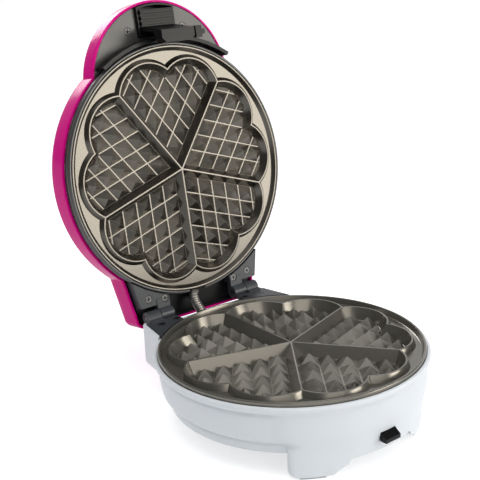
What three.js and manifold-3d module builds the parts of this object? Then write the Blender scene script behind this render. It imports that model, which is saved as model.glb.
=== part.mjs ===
// Heart waffle maker: a round white base, a magenta lid on two rear hinges, and a heart plate in each.
// Millimetres, +Z up. Pieces are drawn with the lid closed, about the middle of the lower plate,
// with z = 0 on the tops of its heart walls, the front towards -Y and the hinges towards +Y.
// The finished group stands on z = 0, centred on its footprint, with its lid open.
import * as THREE from "three";
import { mergeVertices } from "three/addons/utils/BufferGeometryUtils.js";
import Module from "manifold-3d";

const wasm = await Module();
wasm.setup();

// Clearances
const fit = 0.3;
const overrun = 2;

// Stance and opening
const openAngle = THREE.MathUtils.degToRad(98.9);
const hingeHeight = 1.4;
const plateGap = 2;

// Curve steps
const roundSteps = 48;
const panSteps = 36;
const smallSteps = 14;
const lobeSteps = 9;
const arcSteps = 5;
const apronSteps = 6;
const legSteps = 2;
const eyeSteps = 16;
const conduitRibs = 24;
const conduitBoreShare = 4;
const conduitSides = 8;
const screwSteps = 10;

// The plates set the plan: what lies near their edge is placed by its distance beyond it, and wide
// outlines by their shares of the plate's radius.
const plateRadius = 100;
const beyondPlate = (distances) => {
  const places = Object.entries(distances).map(([name, distance]) => [name, plateRadius + distance]);
  return Object.fromEntries(places);
};
const ofPlate = (share) => plateRadius * share;
const hingeBeyond = 12.35;
const hingeBack = plateRadius + hingeBeyond;

// Heart plates
const heartCount = 5;
const halfWedge = Math.PI / heartCount;
const lobeRadiusShare = 0.293;
const lobeSideShare = 0.19;
const lobeForwardShare = 0.585;
const lobeRadius = ofPlate(lobeRadiusShare);
const lobeSide = ofPlate(lobeSideShare);
const lobeForward = ofPlate(lobeForwardShare);
const lobeReach = Math.hypot(lobeSide, lobeForward) + lobeRadius;
const ridgeWidth = 1.4;
const cellPitchShare = 0.134;
const cellPitch = ofPlate(cellPitchShare);
const gridLine = 1;
const gridRows = 6;
const rimWidth = 1.8;
const rimTop = plateRadius - rimWidth;
const plateThickness = 2.8;
const lowerPlate = { depth: 9.5, wallRun: 4.2, pyramid: 6.6, gutter: 4.8, gutterRun: 2, rimSlope: 1.4, rimDrop: 4.2 };
const upperPlate = { depth: 6, wallRun: 3.5, pyramid: 4.6, gutter: 3, gutterRun: 2.5, rimSlope: 2.1, rimDrop: 8.2 };

// Base housing
const wall = 2.4;
const lipBeyond = { radius: 3, inner: 0.6 };
const lip = { ...beyondPlate(lipBeyond), top: -3, drop: 6.6, edge: 1 };
const bodyBeyond = { top: -1.2, middle: -3, waist: -3.8, step: -6.6, ring: -7.8, foot: -9.2 };
const body = beyondPlate(bodyBeyond);
const bodyLevel = { top: -11, middle: -22, waist: -29, step: -33.2, ring: -34.2, foot: -41 };
const seatLedge = 2;
const flangeBeyond = { radius: -26 };
const flange = { ...beyondPlate(flangeBeyond), thickness: 3, recess: 2.5 };
const outlineFrontShare = 0.6;
const rearShoulderShare = 0.7;
const rearShoulderHalfShare = 0.69;
const rearBackHalfShare = 0.626;
const rearBeyond = { back: 12.5 };
const rear = {
  ...beyondPlate(rearBeyond),
  front: ofPlate(outlineFrontShare),
  shoulder: ofPlate(rearShoulderShare),
  shoulderHalf: ofPlate(rearShoulderHalfShare),
  backHalf: ofPlate(rearBackHalfShare),
  corner: 8,
  top: -0.8,
  notch: -7,
};
const knuckleRoom = { edge: 6.6, base: 12.3, lid: 12.4 };
const knuckleOuter = rear.backHalf - knuckleRoom.edge;
const knuckleSplit = knuckleOuter - knuckleRoom.base;
const knuckle = { inner: knuckleSplit - knuckleRoom.lid, split: knuckleSplit, outer: knuckleOuter, gap: 0.5 };
const rearOpeningEdge = 4.1;
const rearOpening = rear.backHalf - rearOpeningEdge;
const legsBeyond = { outer: -1.4, inner: -12.8 };
const legs = {
  ...beyondPlate(legsBeyond),
  wall: 3.2,
  draft: 2.2,
  top: -14.3,
  halfAngle: THREE.MathUtils.degToRad(42.8),
};
const legSpan = { from: THREE.MathUtils.degToRad(17), to: THREE.MathUtils.degToRad(43) };
const arch = { topHalf: 30.5, bottomHalf: 37.4, top: -47.5, corner: 4 };
const legBottom = -58;
const footBeyond = { inner: -10, outer: -5 };
const foot = {
  ...beyondPlate(footBeyond),
  half: THREE.MathUtils.degToRad(5.5),
  height: 3,
  proud: 1.5,
  lean: THREE.MathUtils.degToRad(3),
};
const wallTopHeight = foot.proud - legBottom;

// Base insides
const pan = { sheet: 1, clear: 0.9, depth: 6 };
const elementShare = 0.58;
const element = { ring: ofPlate(elementShare), tube: 3.4, leg: 9, gap: 14, clear: 1.2 };
const cover = { thickness: 2, ventLength: 34, ventWidth: 3, ventPitch: 9, edge: 4 };
const coverVents = 5;
const thermostat = { width: 20, depth: 13, height: 7, across: 24, along: 12 };
const fuse = { radius: 2.4, length: 24, across: -24, along: 10 };
const terminalBeyond = { along: -40 };
const terminal = { width: 32, depth: 15, height: 11, ...beyondPlate(terminalBeyond) };
const gland = { radius: 7, neck: 5.4, bore: 3.4, flange: 2.5, depth: 10, across: 34, height: -21 };
const deckBeyond = { padFront: -15, padBack: 2.4 };
const deckPad = { inner: 1.7, outer: 2 };
const deck = {
  ...beyondPlate(deckBeyond),
  thickness: 2,
  padTop: -3,
  padInner: knuckle.inner + deckPad.inner,
  padOuter: knuckle.outer + deckPad.outer,
  conduitRoom: 6,
};

// Lower plate release
const buttonBeyond = { front: 4, collarFront: -11 };
const button = {
  ...beyondPlate(buttonBeyond),
  half: 7,
  top: -33.8,
  bottom: -40.2,
  under: -38.5,
  slope: 3.6,
  travel: 4,
  collar: 1.6,
};
const buttonSpringBeyond = { back: -21 };
const buttonSpring = { radius: 1.7, wire: 0.8, ...beyondPlate(buttonSpringBeyond) };
const buttonSpringTurns = 4;

// Screws
const screw = { head: 2.9, sink: 1.3, shank: 1.3, length: 7, slotWidth: 0.8, slotLength: 3.4, slotDepth: 0.7 };

// Hinges
const barrel = 5.3;
const pin = { radius: 2, clear: 0.35 };
const baseLeafBeyond = { back: 5.8, reach: 1.3 };
const baseLeaf = { ...beyondPlate(baseLeafBeyond), top: 0, thickness: 2.7, edge: 2.9, web: 5.3 };
const lidLeafBeyond = { back: 4, reach: 3.1, front: -24 };
const lidLeaf = { ...beyondPlate(lidLeafBeyond), under: 2, top: 11.6, web: 4.7 };
const leafScrewBeyond = { baseNear: -0.1, baseFar: -2, lidNear: 0.1, lidFar: -2.4 };
const leafScrewRoom = { near: 4, far: 6.8 };
const leafScrew = {
  ...beyondPlate(leafScrewBeyond),
  near: knuckle.inner + leafScrewRoom.near,
  far: knuckle.split + leafScrewRoom.far,
  lidLength: 11.5,
};

// Lid shell
const shellBeyond = { radius: 4 };
const shell = { ...beyondPlate(shellBeyond), rim: 10, wallTop: 26, crown: 50, thickness: 2 };
const tongueRadiusShare = 0.653;
const tongueBeyond = { front: 36.6 };
const tongueFront = beyondPlate(tongueBeyond).front;
const tongueRadius = ofPlate(tongueRadiusShare);
const tongue = { radius: tongueRadius, forward: tongueFront - tongueRadius, wallTop: 24, crown: 38 };
const tailShoulderShare = 0.79;
const tailShoulderHalfShare = 0.66;
const tailBackHalfShare = 0.585;
const tailBeyond = { back: 20 };
const tail = {
  ...beyondPlate(tailBeyond),
  front: ofPlate(outlineFrontShare),
  shoulder: ofPlate(tailShoulderShare),
  shoulderHalf: ofPlate(tailShoulderHalfShare),
  backHalf: ofPlate(tailBackHalfShare),
  corner: 7,
  wallTop: 26,
  crown: 39,
  round: 12,
};
const domeSteps = 5;
const tailSteps = 3;
const lampBeyond = { forward: -26 };
const lamp = { radius: 3.2, proud: 1, depth: 7, across: 9, ...beyondPlate(lampBeyond) };

// Lid insides
const ringBeyond = { inner: 0.3, outer: 2.8 };
const ring = { ...beyondPlate(ringBeyond), sheet: 1.1, low: 2.2, high: 4.2, top: 10.2 };
const lidPanBeyond = { lip: 1.7 };
const lidPan = beyondPlate(lidPanBeyond);
const conduitNotch = { left: -10, right: 6, deep: 3.4 };
const linerBeyond = { reach: -5 };
const liner = { low: 11.9, thickness: 2, ...beyondPlate(linerBeyond) };
const tonguePlateBeyond = { inner: 2.2 };
const tonguePlate = { level: 10.5, thickness: 2, ...beyondPlate(tonguePlateBeyond) };
const tongueScrewBeyond = { forward: 14 };
const tongueScrew = { across: 26.3, ...beyondPlate(tongueScrewBeyond) };
const ribBeyond = { inner: 4.1 };
const rib = { ...beyondPlate(ribBeyond), thickness: 2.9, low: -2, halfAngle: THREE.MathUtils.degToRad(34.3) };

// Latch
const pocketBeyond = { front: 35, back: 8.6 };
const pocket = { half: 17.5, ...beyondPlate(pocketBeyond), low: 7.4, top: 22, wall: 1.6 };
const latchBeyond = { forward: 14, padFront: 29.4, armFront: 16, armFoot: 10.8, hookBack: 1 };
const latch = {
  ...beyondPlate(latchBeyond),
  half: 15.4,
  height: 10.2,
  boss: 3.4,
  padUnder: 6.4,
  padTop: 9.8,
  rib: 1.5,
  ribWidth: 2.2,
  ribPitch: 4.4,
  arm: 3,
  hookTop: -10.2,
  hookLow: -21,
  chamfer: 3.4,
};
const latchRibs = 3;
const latchPin = { radius: 1.5, half: 17.1 };
const latchSpring = { inner: 2, outer: 3, half: 2.6 };

// Upper plate release
const releaseBeyond = { front: 13, back: 3.5, wingFront: 10, wingBack: 6 };
const releaseRoom = { side: 23.3, width: 6, wing: 3 };
const releaseRight = tongue.radius - releaseRoom.side;
const release = {
  ...beyondPlate(releaseBeyond),
  left: releaseRight - releaseRoom.width,
  right: releaseRight,
  proud: 4.4,
  wing: releaseRight + releaseRoom.wing,
  stem: 3,
  travel: 4,
  cap: 1.4,
  overlap: 1.6,
};

// Conduit between base and lid, with the lid open
const conduit = { radius: 4, groove: 0.4, bore: 2.9 };
const conduitLidBeyond = { along: 5.3 };
const conduitLid = { across: 0.7, ...beyondPlate(conduitLidBeyond) };
const conduitBeyond = [
  [2.2, 29.6, 3.2],
  [1.4, 27, 5.2],
  [0, 22.6, 7.8],
  [-2.5, 17, 8.4],
  [-4.8, 11.6, 5.4],
  [-5.6, 6.6, -0.6],
  [-5.8, 3.6, -7],
  [-5.8, 2.8, -14],
];
const conduitRoute = conduitBeyond.map(([x, beyond, z]) => [x, plateRadius + beyond, z]);

const look = (color, roughness, metalness = 0) => new THREE.MeshStandardMaterial({ color, roughness, metalness });
const whitePlastic = look(0xeceff3, 0.35);
const magentaGloss = look(0xc4187f, 0.15);
const coatedMetal = look(0x5e5850, 0.35, 0.7);
const hingeGrey = look(0x5b5d5f, 0.5);
const blackPlastic = look(0x17171a, 0.45);
const greyPlastic = look(0x8d8d8a, 0.5);
const steel = look(0xb4b5b8, 0.3, 1);
const aluminium = look(0xc0c1c0, 0.4, 1);
const rubber = look(0x2b2b2c, 0.9);
const redLens = look(0xc3221c, 0.2);
const greenLens = look(0x2f9e3f, 0.2);
const ceramic = look(0xe6dfcf, 0.6);

// Solids

function solid(geometry) {
  const plain = new THREE.BufferGeometry();
  const source = geometry.index ? geometry.toNonIndexed() : geometry;
  plain.setAttribute("position", source.getAttribute("position").clone());
  const merged = mergeVertices(plain, 1e-4);
  const corners = merged.index.array;
  const used = [];
  for (let i = 0; i < corners.length; i += 3) {
    const [a, b, c] = [corners[i], corners[i + 1], corners[i + 2]];
    if (a !== b && b !== c && c !== a) used.push(a, b, c);
  }
  const make = (triVerts) =>
    new wasm.Manifold(
      new wasm.Mesh({
        numProp: 3,
        vertProperties: new Float32Array(merged.attributes.position.array),
        triVerts: new Uint32Array(triVerts),
      }),
    );
  const made = make(used);
  if (made.volume() > 0) return made;
  const turned = [];
  for (let i = 0; i < used.length; i += 3) turned.push(used[i], used[i + 2], used[i + 1]);
  return make(turned);
}

function geometryOf(made) {
  const mesh = made.getMesh();
  const positions = new Float32Array(mesh.numVert * 3);
  for (let i = 0; i < mesh.numVert; i += 1) {
    positions.set(mesh.vertProperties.subarray(i * mesh.numProp, i * mesh.numProp + 3), i * 3);
  }
  const geometry = new THREE.BufferGeometry();
  geometry.setAttribute("position", new THREE.BufferAttribute(positions, 3));
  geometry.setIndex(new THREE.BufferAttribute(mesh.triVerts, 1));
  const flat = geometry.toNonIndexed();
  flat.computeVertexNormals();
  return flat;
}

const join = (...solids) => solids.reduce((all, next) => all.add(next));
const cut = (from, ...tools) => tools.reduce((left, tool) => left.subtract(tool), from);

function block(x0, x1, y0, y1, z0, z1) {
  const geometry = new THREE.BoxGeometry(x1 - x0, y1 - y0, z1 - z0);
  return solid(geometry.translate((x0 + x1) / 2, (y0 + y1) / 2, (z0 + z1) / 2));
}

// A turned piece about Z, from a closed run of [radius, height] points.
function turned(points, steps = roundSteps, x = 0, y = 0) {
  const profile = points.map(([r, z]) => new THREE.Vector2(r, z));
  if (points[0][0] !== 0 || points[points.length - 1][0] !== 0) profile.push(profile[0].clone());
  const geometry = new THREE.LatheGeometry(profile, steps);
  return solid(geometry.rotateX(Math.PI / 2).translate(x, y, 0));
}

const disc = (radius, z0, z1, x = 0, y = 0, steps = smallSteps) =>
  turned([[0, z0], [radius, z0], [radius, z1], [0, z1]], steps, x, y);

function rodX(radius, x0, x1, y, z, steps = smallSteps) {
  const geometry = new THREE.CylinderGeometry(radius, radius, x1 - x0, steps);
  return solid(geometry.rotateZ(Math.PI / 2).translate((x0 + x1) / 2, y, z));
}

function rodY(radius, y0, y1, x, z, steps = smallSteps) {
  const geometry = new THREE.CylinderGeometry(radius, radius, y1 - y0, steps);
  return solid(geometry.translate(x, (y0 + y1) / 2, z));
}

// A plan outline raised from z0 to z1.
function raised(shape, z0, z1, curveSegments = arcSteps) {
  const geometry = new THREE.ExtrudeGeometry(shape, { depth: z1 - z0, bevelEnabled: false, curveSegments });
  return solid(geometry.translate(0, 0, z0));
}

// A plan outline that keeps its size at both ends and swells by run in between.
function swollen(shape, z0, z1, rise, run, curveSegments = arcSteps) {
  const geometry = new THREE.ExtrudeGeometry(shape, {
    depth: z1 - z0,
    bevelEnabled: true,
    bevelThickness: rise,
    bevelSize: run,
    bevelSegments: 1,
    curveSegments,
  });
  return solid(geometry.translate(0, 0, z0));
}

// A side outline of [y, z] points pulled along X.
function pulledX(points, x0, x1) {
  const shape = new THREE.Shape(points.map(([y, z]) => new THREE.Vector2(y, z)));
  const geometry = new THREE.ExtrudeGeometry(shape, { depth: x1 - x0, bevelEnabled: false });
  geometry.applyMatrix4(new THREE.Matrix4().set(0, 0, 1, x0, 1, 0, 0, 0, 0, 1, 0, 0, 0, 0, 0, 1));
  return solid(geometry);
}

// A front outline drawn in X and Z and pulled along Y.
function pulledY(shape, y0, y1) {
  const geometry = new THREE.ExtrudeGeometry(shape, { depth: y1 - y0, bevelEnabled: false, curveSegments: arcSteps });
  return solid(geometry.rotateX(Math.PI / 2).translate(0, y1, 0));
}

const spun = (made, angle) => solid(geometryOf(made).rotateZ(angle));
const mirroredX = (made) => solid(geometryOf(made).scale(-1, 1, 1));

function sector(inner, outer, middle, half) {
  const shape = new THREE.Shape();
  shape.absarc(0, 0, outer, middle - half, middle + half, false);
  shape.absarc(0, 0, inner, middle + half, middle - half, true);
  shape.closePath();
  return shape;
}

// A closed tube along a route of points, with a section of so many sides.
function tube(points, radius, sides, steps) {
  const curve = new THREE.CatmullRomCurve3(points.map((p) => new THREE.Vector3(...p)), false, "centripetal");
  const section = new THREE.Shape();
  for (let i = 0; i < sides; i += 1) {
    const angle = (2 * Math.PI * i) / sides;
    const corner = [radius * Math.cos(angle), radius * Math.sin(angle)];
    if (i === 0) section.moveTo(...corner);
    else section.lineTo(...corner);
  }
  return solid(new THREE.ExtrudeGeometry(section, { steps, extrudePath: curve, bevelEnabled: false }));
}

// Scene graph

const machine = new THREE.Group();
const service = new THREE.Group();
const base = new THREE.Group();
const lid = new THREE.Group();
const lidPieces = new THREE.Group();
machine.add(service);
service.add(base, lid);
service.position.z = wallTopHeight;
lid.position.set(0, hingeBack, hingeHeight);
lid.rotation.x = -openAngle;
lid.add(lidPieces);
lidPieces.position.set(0, -hingeBack, -hingeHeight);

function add(group, name, made, material) {
  const mesh = new THREE.Mesh(geometryOf(made), material);
  mesh.name = name;
  group.add(mesh);
}

// A countersunk cross-head screw along Z. The head lies on z and the shank points to side times Z.
function crossScrew(x, y, z, side, length = screw.length) {
  const half = screw.slotWidth / 2;
  const reach = screw.slotLength / 2;
  const form = (r, from, to) => turned([[0, from], [r, from], [r, to], [0, to]], screwSteps);
  const head = form(screw.head, 0, screw.sink);
  const shank = form(screw.shank, screw.sink - fit, length);
  const slots = join(
    block(-half, half, -reach, reach, -overrun, screw.slotDepth),
    block(-reach, reach, -half, half, -overrun, screw.slotDepth),
  );
  const geometry = geometryOf(cut(join(head, shank), slots));
  if (side < 0) geometry.rotateX(Math.PI);
  return solid(geometry.translate(x, y, z));
}

// The room that such a screw needs in what it holds.
function screwRoom(x, y, z, side, length = screw.length) {
  const top = [z - side * overrun, z + side * (screw.sink + fit)];
  const deep = [z - side * overrun, z + side * (length + fit)];
  return join(
    disc(screw.head + fit, Math.min(...top), Math.max(...top), x, y),
    disc(screw.shank + fit, Math.min(...deep), Math.max(...deep), x, y),
  );
}

// Plan outlines as runs of [x, y] points

// A closed form through plan outlines at rising heights. Every outline has the same number of points.
function lofted(layers) {
  const count = layers[0][0].length;
  const positions = [];
  const index = [];
  layers.forEach(([outline, z]) => outline.forEach(([x, y]) => positions.push(x, y, z)));
  for (let layer = 0; layer < layers.length - 1; layer += 1) {
    for (let i = 0; i < count; i += 1) {
      const a = layer * count + i;
      const b = layer * count + ((i + 1) % count);
      index.push(a, b, b + count, a, b + count, a + count);
    }
  }
  const facesOf = (outline) => THREE.ShapeUtils.triangulateShape(outline.map(([x, y]) => new THREE.Vector2(x, y)), []);
  const top = (layers.length - 1) * count;
  facesOf(layers[0][0]).forEach(([a, b, c]) => index.push(a, c, b));
  facesOf(layers[layers.length - 1][0]).forEach(([a, b, c]) => index.push(top + a, top + b, top + c));
  const geometry = new THREE.BufferGeometry();
  geometry.setAttribute("position", new THREE.Float32BufferAttribute(positions, 3));
  geometry.setIndex(index);
  return solid(geometry);
}

const upright = (outline, z0, z1) => lofted([[outline, z0], [outline, z1]]);

// The rear of the base or of the lid: sides that draw together, and two round corners.
function rearOutline({ front, shoulder, shoulderHalf, backHalf, back, corner }, inset) {
  const radius = Math.max(corner - inset, fit);
  const half = backHalf - inset;
  const right = [[shoulderHalf - inset, front], [shoulderHalf - inset, shoulder]];
  for (let i = 0; i <= arcSteps; i += 1) {
    const angle = ((Math.PI / 2) * i) / arcSteps;
    right.push([half - radius + radius * Math.cos(angle), back - inset - radius + radius * Math.sin(angle)]);
  }
  const left = right.map(([x, y]) => [-x, y]).reverse();
  return [...right, ...left];
}

// Heart plates

// Where a lobe of the given radius starts, on a wedge side moved in by edgeInset, and where it ends.
function lobeSpan(radius, edgeInset) {
  const along = lobeForward * Math.cos(halfWedge) + lobeSide * Math.sin(halfWedge);
  const across = lobeForward * Math.sin(halfWedge) - lobeSide * Math.cos(halfWedge) - edgeInset;
  const reach = along + Math.sqrt(radius ** 2 - across ** 2);
  const x = reach * Math.sin(halfWedge) - edgeInset * Math.cos(halfWedge);
  const y = reach * Math.cos(halfWedge) + edgeInset * Math.sin(halfWedge);
  const start = Math.atan2(y - lobeForward, x - lobeSide);
  const notch = Math.atan2(Math.sqrt(Math.max(radius ** 2 - lobeSide ** 2, 0)), -lobeSide);
  return { start, notch };
}

function lobe(radius, edgeInset) {
  const { start, notch } = lobeSpan(radius, edgeInset);
  const points = [];
  for (let i = 0; i <= lobeSteps; i += 1) {
    const angle = start + ((notch - start) * i) / lobeSteps;
    points.push([lobeSide + radius * Math.cos(angle), lobeForward + radius * Math.sin(angle)]);
  }
  points[lobeSteps][0] = 0;
  return points;
}

// A heart with its tip towards the middle of the plate, pointing along +Y, drawn in by inset.
function heart(inset) {
  const right = lobe(lobeRadius - inset, inset);
  const left = right.slice(0, -1).reverse();
  return [[0, inset / Math.sin(halfWedge)], ...right, ...left.map(([x, y]) => [-x, y])];
}

// The outline round all the hearts, moved out by outset.
function flower(outset) {
  const right = lobe(lobeRadius + outset, 0);
  const left = right.slice(1, -1).reverse();
  const petal = [...right, ...left.map(([x, y]) => [-x, y])];
  const points = [];
  for (let k = 0; k < heartCount; k += 1) {
    const turn = 2 * halfWedge * k;
    petal.forEach(([x, y]) => {
      points.push([x * Math.cos(turn) - y * Math.sin(turn), x * Math.sin(turn) + y * Math.cos(turn)]);
    });
  }
  return points;
}

// The pyramids of one heart, on a floor at the given height.
function pyramids(floor, height, inset) {
  const edge = cellPitch / Math.sin(2 * halfWedge);
  const sunk = plateThickness / 2;
  const swell = ((cellPitch - gridLine) / cellPitch) * ((height + sunk) / height);
  const tip = inset / Math.sin(halfWedge);
  const cells = [];
  for (let i = 0; i < gridRows; i += 1) {
    for (let j = 0; j < gridRows; j += 1) {
      const x = (i - j) * edge * Math.sin(halfWedge);
      const y = tip + (i + j + 1) * edge * Math.cos(halfWedge);
      const past = Math.hypot(Math.abs(x) - lobeSide, Math.max(y - lobeForward, 0));
      if (past < lobeRadius - inset + edge / 2) {
        const cone = new THREE.ConeGeometry(1, height + sunk, 4).rotateX(Math.PI / 2);
        cone.scale(edge * Math.sin(halfWedge) * swell, edge * Math.cos(halfWedge) * swell, 1);
        cells.push(solid(cone.translate(x, y, floor + (height - sunk) / 2)));
      }
    }
  }
  const low = inset + gridLine / 2;
  const trim = lofted([
    [heart(low), floor - sunk],
    [heart(low), floor],
    [heart(low + height / 2), floor + height],
  ]);
  return join(...cells).intersect(trim);
}

// A heart plate that faces up, with z = 0 on its ridges.
function heartPlate({ depth, wallRun, pyramid, gutter, gutterRun, rimSlope, rimDrop }) {
  const back = -depth - plateThickness;
  const edge = rimWidth / 3;
  const ridge = ridgeWidth / 2;
  const dish = turned([
    [0, back],
    [lobeReach, back],
    [lobeReach, -gutter - plateThickness],
    [rimTop, -gutter - plateThickness],
    [rimTop, -rimDrop],
    [plateRadius, -rimDrop],
    [plateRadius, -edge],
    [plateRadius - edge, 0],
    [rimTop, 0],
    [rimTop - rimSlope, -gutter],
    [0, -gutter],
  ]);
  const walls = lofted([
    [flower(ridge + gutterRun), -gutter - plateThickness / 2],
    [flower(ridge + gutterRun), -gutter],
    [flower(ridge), 0],
  ]);
  const floorInset = ridge + wallRun;
  const basin = lofted([
    [heart(floorInset), -depth],
    [heart(ridge), 0],
    [heart(ridge), overrun],
  ]);
  const field = pyramids(-depth, pyramid, floorInset);
  let made = join(dish, walls);
  for (let k = 0; k < heartCount; k += 1) made = cut(made, spun(basin, Math.PI + 2 * halfWedge * k));
  for (let k = 0; k < heartCount; k += 1) made = join(made, spun(field, Math.PI + 2 * halfWedge * k));
  return made;
}

// A tubular heater ring at the given height. Its two ends turn away from the plate, towards side times Z.
function heater(level, side) {
  const open = Math.asin(element.gap / 2 / element.ring);
  const turns = 14;
  const points = [];
  for (let i = 0; i <= turns; i += 1) {
    const angle = Math.PI / 2 + open + ((2 * Math.PI - 2 * open) * i) / turns;
    points.push([element.ring * Math.cos(angle), element.ring * Math.sin(angle), level]);
  }
  const away = (x) => [x, element.ring + element.tube, level + side * element.leg];
  return tube([away(points[0][0]), ...points, away(points[turns][0])], element.tube, 8, 30);
}

// Two holes for the ends of a heater.
function heaterHoles(z0, z1) {
  const [x, y, radius] = [element.gap / 2, element.ring + element.tube / 2, element.tube + overrun];
  return join(disc(radius, z0, z1, -x, y), disc(radius, z0, z1, x, y));
}

// Base levels and radii

const plateUnder = -lowerPlate.depth - plateThickness;
const panLip = -lowerPlate.gutter - plateThickness - fit;
const panSeat = panLip - pan.sheet - fit;
const panWall = lobeReach + pan.clear;
const panFloor = plateUnder - element.clear - 2 * element.tube - fit;
const seat = -lowerPlate.rimDrop - fit;
const seatRadius = rimTop + fit;
const innerRing = body.ring - wall;
const flangeLow = bodyLevel.foot + flange.recess;
const flangeTop = flangeLow + flange.thickness;
const coverTop = bodyLevel.foot + cover.thickness;
const coverRadius = body.foot - cover.edge;
const coverScrewRadius = (flange.radius + coverRadius) / 2;
const coverScrewPlaces = [1, 3, 5, 7].map((k) => {
  const angle = (Math.PI / 4) * k;
  return [coverScrewRadius * Math.cos(angle), coverScrewRadius * Math.sin(angle)];
});
const deckTop = rear.notch - fit;
const deckLow = deckTop - deck.thickness;
const footAngle = (legSpan.from + legSpan.to) / 2 + foot.lean;
const housingInside = [
  [innerRing, flangeTop],
  [innerRing, bodyLevel.ring],
  [body.waist - wall, bodyLevel.waist],
  [body.top - wall, bodyLevel.top - wall],
  [seatRadius - seatLedge, panSeat],
  [seatRadius, panSeat],
  [seatRadius, seat],
  [lip.inner, seat],
];

function archCut() {
  const { topHalf, bottomHalf, top, corner } = arch;
  const low = legBottom - overrun;
  const shape = new THREE.Shape();
  shape.moveTo(-bottomHalf, low);
  shape.lineTo(bottomHalf, low);
  shape.lineTo(topHalf, top - corner);
  shape.quadraticCurveTo(topHalf, top, topHalf - corner, top);
  shape.lineTo(corner - topHalf, top);
  shape.quadraticCurveTo(-topHalf, top, -topHalf, top - corner);
  shape.closePath();
  return pulledY(shape, -lip.radius - overrun, 0);
}

// A curved form of the given angle about the front, that draws in by the draft down to the table.
function drafted(inner, half, top, turn, steps) {
  const { outer, draft } = legs;
  const shape = sector(inner, outer - draft, turn - Math.PI / 2, half - draft / outer);
  const made = swollen(shape, top, top + draft, top - legBottom, draft, steps);
  return made.intersect(block(-lip.radius, lip.radius, -lip.radius, lip.radius, legBottom, top));
}

// Two solid legs at the front or the rear.
function legPair(top, turn) {
  const middle = (legSpan.from + legSpan.to) / 2;
  const half = (legSpan.to - legSpan.from) / 2;
  return join(...[-1, 1].map((side) => drafted(legs.inner + legs.draft, half, top, turn + side * middle, legSteps)));
}

// The curved apron at the front, with its legs.
function apron() {
  const panel = drafted(legs.outer - legs.draft - legs.wall, legs.halfAngle, legs.top, 0, apronSteps);
  return cut(join(panel, legPair(flangeLow, 0)), archCut());
}

function footPad(side, turn, grow, z0, z1) {
  const angle = turn - Math.PI / 2 + side * footAngle;
  const { inner, outer, half } = foot;
  return raised(sector(inner - grow, outer + grow, angle, half + grow / outer), z0, z1, 1);
}

const footPlaces = { front_left: [-1, 0], front_right: [1, 0], rear_left: [1, Math.PI], rear_right: [-1, Math.PI] };

function buttonWay() {
  const half = button.half + fit;
  const high = button.top + fit;
  const outside = block(-half, half, -button.front, -body.ring - fit, button.bottom - fit, high);
  const inside = block(-half, half, -body.foot - overrun, -button.collarFront, button.under - fit, high);
  const room = half + button.collar;
  const behind = block(-room, room, -button.collarFront - fit, -buttonSpring.back, flangeLow - overrun, flangeTop + overrun);
  return join(outside, inside, behind);
}

function baseHousing() {
  const cavity = turned([[0, flangeTop], ...housingInside, [lip.inner, overrun], [0, overrun]]);
  const round = turned([
    [lip.inner, lip.top],
    [lip.radius - lip.edge, lip.top],
    [lip.radius, lip.top - lip.edge],
    [lip.radius, lip.top - lip.drop + lip.edge],
    [lip.radius - lip.edge, lip.top - lip.drop],
    [lip.inner, lip.top - lip.drop - lip.edge / 2],
    [body.top, bodyLevel.top],
    [body.middle, bodyLevel.middle],
    [body.waist, bodyLevel.waist],
    [body.step, bodyLevel.step],
    [body.ring, bodyLevel.ring],
    [body.foot, bodyLevel.foot],
    [coverRadius + fit, bodyLevel.foot],
    [coverRadius + fit, flangeLow],
    [flange.radius, flangeLow],
    [flange.radius, flangeTop],
    ...housingInside,
  ]);
  const full = upright(rearOutline(rear, 0), bodyLevel.step, rear.top);
  const hollow = upright(rearOutline(rear, wall), bodyLevel.step + wall, overrun);
  const overLip = disc(lip.radius, lip.top, overrun, 0, 0, roundSteps);
  const openBack = block(-rearOpening, rearOpening, baseLeaf.reach, rear.back + overrun, rear.notch, overrun);
  const extension = cut(full, cavity, overLip, openBack);
  const shellOnly = cut(hollow, turned([
    [0, bodyLevel.step],
    [body.step, bodyLevel.step],
    [body.waist, bodyLevel.waist],
    [body.middle, bodyLevel.middle],
    [body.top, bodyLevel.top],
    [lip.inner, lip.top - lip.drop - lip.edge / 2],
    [lip.radius, lip.top - lip.drop],
    [lip.radius, lip.top],
    [0, lip.top],
  ]));
  const skirt = join(apron(), legPair(bodyLevel.step + wall / 2, Math.PI));
  let made = join(round, cut(extension, shellOnly), cut(skirt, cavity));
  const wireWay = block(-terminal.width / 2, terminal.width / 2, body.middle - 2 * wall, lip.radius + wall, bodyLevel.waist, bodyLevel.top - wall);
  const glandWay = rodY(gland.neck + fit, rear.back - 2 * wall, rear.back + overrun, gland.across, gland.height);
  const feetWay = Object.values(footPlaces).map(([side, turn]) =>
    footPad(side, turn, fit, legBottom - overrun, legBottom + foot.height - foot.proud + fit),
  );
  const screwWay = coverScrewPlaces.map(([x, y]) => disc(screw.shank + fit, flangeLow - overrun, flangeTop + overrun, x, y));
  return cut(made, wireWay, buttonWay(), glandWay, conduitRoom(), ...feetWay, ...screwWay);
}

// The room that the conduit needs in the base.
function conduitRoom() {
  const [x, y] = conduitRoute[conduitRoute.length - 1];
  return disc(conduit.radius + overrun, bodyLevel.middle, overrun, x, y);
}

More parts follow.
